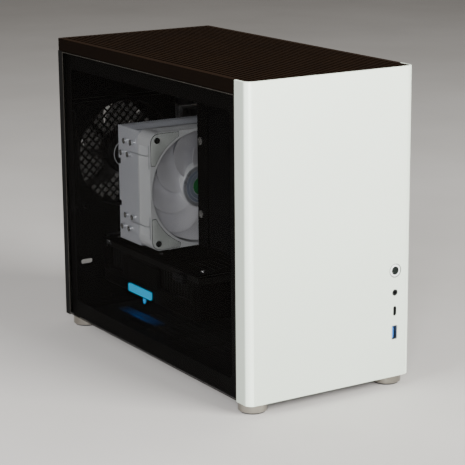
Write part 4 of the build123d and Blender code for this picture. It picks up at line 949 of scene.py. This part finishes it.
# ------------------------------------------------------------------ board wires and plug
bm = bmesh.new()
core = [(42.2, -57, 146), (42, -57.6, 133), (42, -62, 122), (42, -74, 115.5), (42, -87, 114.8), (42, -97, 119), (42, -101.5, 129), (42, -102, 138.6)]
spots = [(0.0, 0.0)] + [(1.75 * math.cos(2 * math.pi * k / 6), 1.75 * math.sin(2 * math.pi * k / 6)) for k in range(6)] + \
        [(3.45 * math.cos(2 * math.pi * k / 12 + 0.2), 3.45 * math.sin(2 * math.pi * k / 12 + 0.2)) for k in range(12)]
order = []
for k in range(19):
    order.append((k, spots[k]))
for k, (u, w) in order:
    row, col = k % 2, k // 2
    z0 = 154 + col * 4.9
    y0 = -56.5 + (2.3 if row else -2.3)
    pts = [(54.5, y0, z0), (50.5, y0, z0 - 0.4), (46.5 + u * 0.3, -56.5 + w * 0.7, 0.62 * z0 + 0.38 * 160 - 3)]
    for i, (x, y, z) in enumerate(core):
        d = Vector(core[min(i + 1, len(core) - 1)]) - Vector(core[max(i - 1, 0)])
        d.normalize()
        sidev = Vector((0, -d.z, d.y))
        wob = 0.25 * math.sin(k * 1.7 + i * 0.9)
        pts.append((x + (u + wob * 0.5), y + sidev.y * (w + wob), z + sidev.z * (w + wob)))
    wire(bm, smooth([(x * MM, y * MM, z * MM) for x, y, z in pts], 8), 0.00082, 8)
rbox(bm, (54.0 * MM, -61.5 * MM, 150.2 * MM), (62.9 * MM, -51.6 * MM, 201.8 * MM), 0.0006, 3, 1)
for col in range(12):
    for y in (-59.0, -54.1):
        rbox(bm, (53.4 * MM, (y - 1.7) * MM, (152.1 + col * 4.15) * MM), (54.3 * MM, (y + 1.7) * MM, (155.5 + col * 4.15) * MM), 0.0003, 2, 1)
rbox(bm, (55.0 * MM, -62.9 * MM, 171 * MM), (66 * MM, -61.4 * MM, 181 * MM), 0.0005, 2, 1)
o = link("harness_wires", bm, [M["cable"], M["port_black"]], "case", slot="cable_black")
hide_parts("atx_harness")

# ribs on the right-angle plug of the internal mains lead, and its collars
bm = bmesh.new()
for k in range(4):
    rbox(bm, (27.2 * MM, (-131 + 3.0 * k) * MM, 284 * MM), (52.8 * MM, (-129.7 + 3.0 * k) * MM, 293.5 * MM), 0.0004, 2)
for k in range(4):
    wire_ring(bm, (0.040, (-98.6 + 2.4 * k) * MM, 0.2873), 0.0036, 0.0006, "y", 32, 8)
link("mains_lead_ribs", bm, M["cable"], "case")

# ------------------------------------------------------------------ graphics card
bm = bmesh.new()
for y0, y1 in ((-20, -10), (54, 60), (120, 131), (167, 174)):  # raised trim along the side of the shroud
    rbox(bm, (-50.6 * MM, y0 * MM, 60 * MM), (-49.8 * MM, y1 * MM, 76 * MM), 0.0003, 2)
rbox(bm, (-50.7 * MM, -20 * MM, 55.5 * MM), (-49.8 * MM, 173 * MM, 57.2 * MM), 0.0004, 2)
rbox(bm, (-50.7 * MM, 66.0 * MM, 42.9 * MM), (-49.8 * MM, 119.2 * MM, 44.3 * MM), 0.0003, 2)
for x0, x1, y0, y1 in ((-44, -38, -14, 60), (-44, -38, 94, 168), (44, 50, -14, 60), (44, 50, 94, 168)):
    rbox(bm, (x0 * MM, y0 * MM, 41.9 * MM), (x1 * MM, y1 * MM, 42.7 * MM), 0.0003, 2)
link("card_trim", bm, M["card"], "case")
bm = bmesh.new()
for x in (-35, 45):
    for y in (-10, 75, 165):
        head_screw(bm, (x * MM, y * MM, 91.4 * MM), (0, 0, 1), 0.0024, 0.0009, 0.0012, 0.0006)
for x, y in ((-17, 85), (28, 85), (-17, 128), (28, 128)):
    head_screw(bm, (x * MM, y * MM, 91.4 * MM), (0, 0, 1), 0.0022, 0.0013, 0.0010, 0.0006)
link("card_screws", bm, [M["screw"], M["ink"]], "case")
bm = bmesh.new()                                             # pressed ribs and power socket on the back plate
for k in range(6):
    rbox(bm, ((-44 + 4.0 * k) * MM, 45 * MM, 91.3 * MM), ((-42.4 + 4.0 * k) * MM, (78 - 3 * k) * MM, 92.0 * MM), 0.0003, 2)
for k in range(7):
    rbox(bm, (-40 * MM, (138 + 4.6 * k) * MM, 91.3 * MM), ((20 - 5 * k) * MM, (140 + 4.6 * k) * MM, 91.9 * MM), 0.0003, 2)
rbox(bm, (-48.5 * MM, -14 * MM, 91.3 * MM), (-46.8 * MM, 168 * MM, 92.1 * MM), 0.0003, 2)
link("card_back_ribs", bm, M["card"], "case")
bm = bmesh.new()
rbox(bm, (-49.5 * MM, 6 * MM, 77.0 * MM), (-38 * MM, 24 * MM, 86.4 * MM), 0.0005, 2, 0)
for k in range(4):
    for j in range(2):
        rbox(bm, (-50.3 * MM, (8 + 4.2 * k) * MM, (78.0 + 4.1 * j) * MM), (-49.2 * MM, (11.2 + 4.2 * k) * MM, (81.2 + 4.1 * j) * MM), 0.0002, 1, 1)
link("card_power_socket", bm, [M["port_black"], M["chip"]], "case")
bm = bmesh.new()                                             # small lit spot under the bar
lathe(bm, [(0, 0.0004), (0.0012, 0.0004), (0.0017, -0.0002), (0.0018, -0.0030), (0.0015, -0.0052), (0.0009, -0.0064), (0, -0.0068)], 24, 0,
      axis_matrix((-0.0478, 0.0890, 0.0426), (0, 0, 1)))
link("card_light_spot", bm, M["spot"], "case")
bm = bmesh.new()                                             # painted reflection of the card's light bar, a glowing strip on the case floor
segs = 34
for k in range(segs):
    y0, y1 = 80 + 84.0 * k / segs, 80 + 84.0 * (k + 0.94) / segs
    xo = -34 + rnd.uniform(-0.5, 0.5)
    rbox(bm, ((xo - 5.0 - rnd.uniform(0, 2.5)) * MM, y0 * MM, 11.25 * MM), ((xo + 5.0 + rnd.uniform(0, 2.5)) * MM, y1 * MM, (12.4 + 0.2 * math.sin(k * 1.9)) * MM), 0.0004, 2)
link("floor_bar_reflection", bm, M["glow"], "case")
# video sockets on the card's bracket
bm = bmesh.new()
for k, (x, w) in enumerate(((-18, 16), (3, 16), (24, 16), (46, 15))):
    rbox(bm, ((x - w / 2) * MM, 182.7 * MM, 79.2 * MM), ((x + w / 2) * MM, 183.5 * MM, 86.8 * MM), 0.0005, 2, 0)
    # near-black plate in the mouth paints the shade inside the socket
    rbox(bm, ((x - w / 2 + 1.0) * MM, 183.3 * MM, 80.3 * MM), ((x + w / 2 - 1.0) * MM, 183.62 * MM, 85.7 * MM), 0.0005, 2, 1)
    rbox(bm, ((x - w / 2 + 3.2) * MM, 183.5 * MM, 82.4 * MM), ((x + w / 2 - 3.2) * MM, 183.8 * MM, 83.6 * MM), 0.0002, 1, 2)
link("video_sockets", bm, [M["port_steel"], M["ink"], M["port_black"]], "case")

# dust filter under the floor, in a thin frame
bm = bmesh.new()
rbox(bm, (-72 * MM, -150 * MM, 9.1 * MM), (72 * MM, 150 * MM, 9.6 * MM), 0.0002, 1, 0)
for a, b in (((-74, -152), (74, -149)), ((-74, 149), (74, 152)), ((-74, -149), (-71, 149)), ((71, -149), (74, 149)), ((-1.5, -149), (1.5, 149))):
    rbox(bm, (a[0] * MM, a[1] * MM, 8.6 * MM), (b[0] * MM, b[1] * MM, 9.98 * MM), 0.0004, 2, 1)
link("floor_filter", bm, [M["filter"], M["clip"]], "case")

# ------------------------------------------------------------------ rear port interiors
IO = [(115, 131, 44, "usb_blue"), (134, 150, 46, "usb_blue"), (153, 169, 46, "port_black"), (172, 187, 42, "jack_red"), (190, 206, 44, "usb_blue"), (231, 247, 44, "port_black")]
for i, (z0, z1, d, mt) in enumerate(IO):
    bm = bmesh.new()
    for xc in (PX - d + 11.5, PX - d + 27.5):
        rbox(bm, ((xc - 1.0) * MM, 170.2 * MM, (z0 + 2.2) * MM), ((xc + 1.0) * MM, 182.6 * MM, (z1 - 2.2) * MM), 0.0003, 2, 0)
        for k in range(4):
            zz = z0 + 4 + (z1 - z0 - 8) * k / 3
            rbox(bm, ((xc + 0.95) * MM, 173 * MM, (zz - 0.45) * MM), ((xc + 1.12) * MM, 182 * MM, (zz + 0.45) * MM), 0.00006, 1, 1)
    link("port_tongues_%d" % i, bm, [M[mt], M["gold"]], "case")
bm = bmesh.new()
for k in range(3):
    mx = axis_matrix(((47.9 + 9.2 * k) * MM, 0.1834, 0.1055), (0, 1, 0))
    rings = lathe(bm, [(0.00185, 0.0), (0.00185, 0.0006), (0.0022, 0.0009), (0.0031, 0.0009), (0.0035, 0.0006), (0.0035, 0.0)], 36, k, mx)
    for q in range(36):
        j = (q + 1) % 36
        bm.faces.new((rings[0][q], rings[0][j], rings[-1][j], rings[-1][q])).material_index = k
link("sound_jack_rings", bm, [M["jack_blue"], M["jack_green"], M["jack_pink"]], "case")
bm = bmesh.new()
rbox(bm, (55.0 * MM, 183.4 * MM, 213.6 * MM), (70.5 * MM, 183.9 * MM, 222.4 * MM), 0.0006, 2, 0)
# near-black plate in the mouth paints the shade inside the socket
rbox(bm, (56.2 * MM, 183.7 * MM, 215.0 * MM), (69.3 * MM, 184.02 * MM, 221.0 * MM), 0.0005, 2, 1)
rbox(bm, (58.2 * MM, 183.9 * MM, 217.4 * MM), (67.3 * MM, 184.2 * MM, 218.6 * MM), 0.0002, 1, 2)
link("rear_video_socket", bm, [M["port_steel"], M["ink"], M["port_black"]], "case")

# blue tongue of the front socket
bm = bmesh.new()
rbox(bm, (70.8 * MM, -183.7 * MM, 48.8 * MM), (72.8 * MM, -171.2 * MM, 60.2 * MM), 0.0003, 2, 0)
for k in range(4):
    rbox(bm, (72.75 * MM, -183.2 * MM, (50.3 + 2.6 * k) * MM), (72.95 * MM, -174 * MM, (51.3 + 2.6 * k) * MM), 0.00008, 1, 1)
link("front_port_tongue", bm, [M["usb_blue"], M["gold"]], "case")

# near-black crosses on the screw heads of the rear panel and the supply's straps, painting the shade in their cross
# recesses
bm = bmesh.new()
for z in (83, 62.68, 42.36, 22.04):
    for a in range(2):
        mx = axis_matrix((-0.038, 0.185, z * MM), (0, 1, 0)) @ Matrix.Rotation(math.pi / 2 * a + 0.3, 4, "Z")
        rbox(bm, (-0.0024, -0.0003, -0.0005), (0.0024, 0.0003, -0.00001), 0.00006, 1, 0, mx)
for i in (-52.5, 52.5):
    for j in (-52.5, 52.5):
        for a in range(2):
            mx = axis_matrix(((-27 + i) * MM, 0.185, (184 + j) * MM), (0, 1, 0)) @ Matrix.Rotation(math.pi / 2 * a + 0.7 * i, 4, "Z")
            rbox(bm, (-0.0024, -0.0003, -0.0005), (0.0024, 0.0003, -0.00001), 0.00006, 1, 0, mx)
for z in (170, 240):
    for a in range(2):
        mx = axis_matrix((-0.0782, -0.080, z * MM), (-1, 0, 0)) @ Matrix.Rotation(math.pi / 2 * a + 0.5, 4, "Z")
        rbox(bm, (-0.0022, -0.00028, -0.0004), (0.0022, 0.00028, 0.00004), 0.00006, 1, 0, mx)
link("screw_recess_shade", bm, M["ink"], "case")

# ------------------------------------------------------------------ floor and light
bm = bmesh.new()
bmesh.ops.create_grid(bm, x_segments=8, y_segments=8, size=6.0)
me = bpy.data.meshes.new("floor")
bm.to_mesh(me)
bm.free()
floor = bpy.data.objects.new("floor", me)
bpy.context.collection.objects.link(floor)
fm, fnt, fb = new_mat("floor_pale")
fv = coords(fnt)
fnt.links.new(mixc(fnt, ramp(fnt, noise(fnt, fv, 3.0, 3.0), 0.3, 0.7), (0.40, 0.385, 0.365), (0.44, 0.425, 0.405)), fb.inputs["Base Color"])
fb.inputs["Roughness"].default_value = 0.75
fb.inputs["Specular IOR Level"].default_value = 0.2
me.materials.append(fm)

world = bpy.data.worlds.new("studio")
bpy.context.scene.world = world
world.use_nodes = True
bg = world.node_tree.nodes["Background"]
bg.inputs["Color"].default_value = (0.86, 0.81, 0.77, 1)
bg.inputs["Strength"].default_value = 0.25


def area(name, loc, target, size, power, color=(1, 1, 1), size_y=None):
    d = bpy.data.lights.new(name, "AREA")
    d.shape = "RECTANGLE"
    d.size = size
    d.size_y = size_y or size
    d.energy = power
    d.color = color
    o = bpy.data.objects.new(name, d)
    bpy.context.collection.objects.link(o)
    o.location = loc
    o.rotation_mode = "QUATERNION"
    o.rotation_quaternion = (Vector(target) - Vector(loc)).to_track_quat("-Z", "Y")
    return o


area("key_front", (0.9, -2.2, 1.5), (0, -0.18, 0.16), 1.5, 178.0, (1.0, 1.0, 0.98))
area("corner_left", (-1.35, -2.05, 0.78), (-0.05, 0.0, 0.17), 0.6, 94.0, (0.98, 0.98, 1.0), 1.0)
area("fill_left", (-1.8, -0.25, 0.85), (0, 0.05, 0.17), 0.9, 46.0, (0.96, 0.97, 1.0))
area("top", (0.2, 0.5, 2.0), (0, 0, 0.2), 1.2, 10.0)
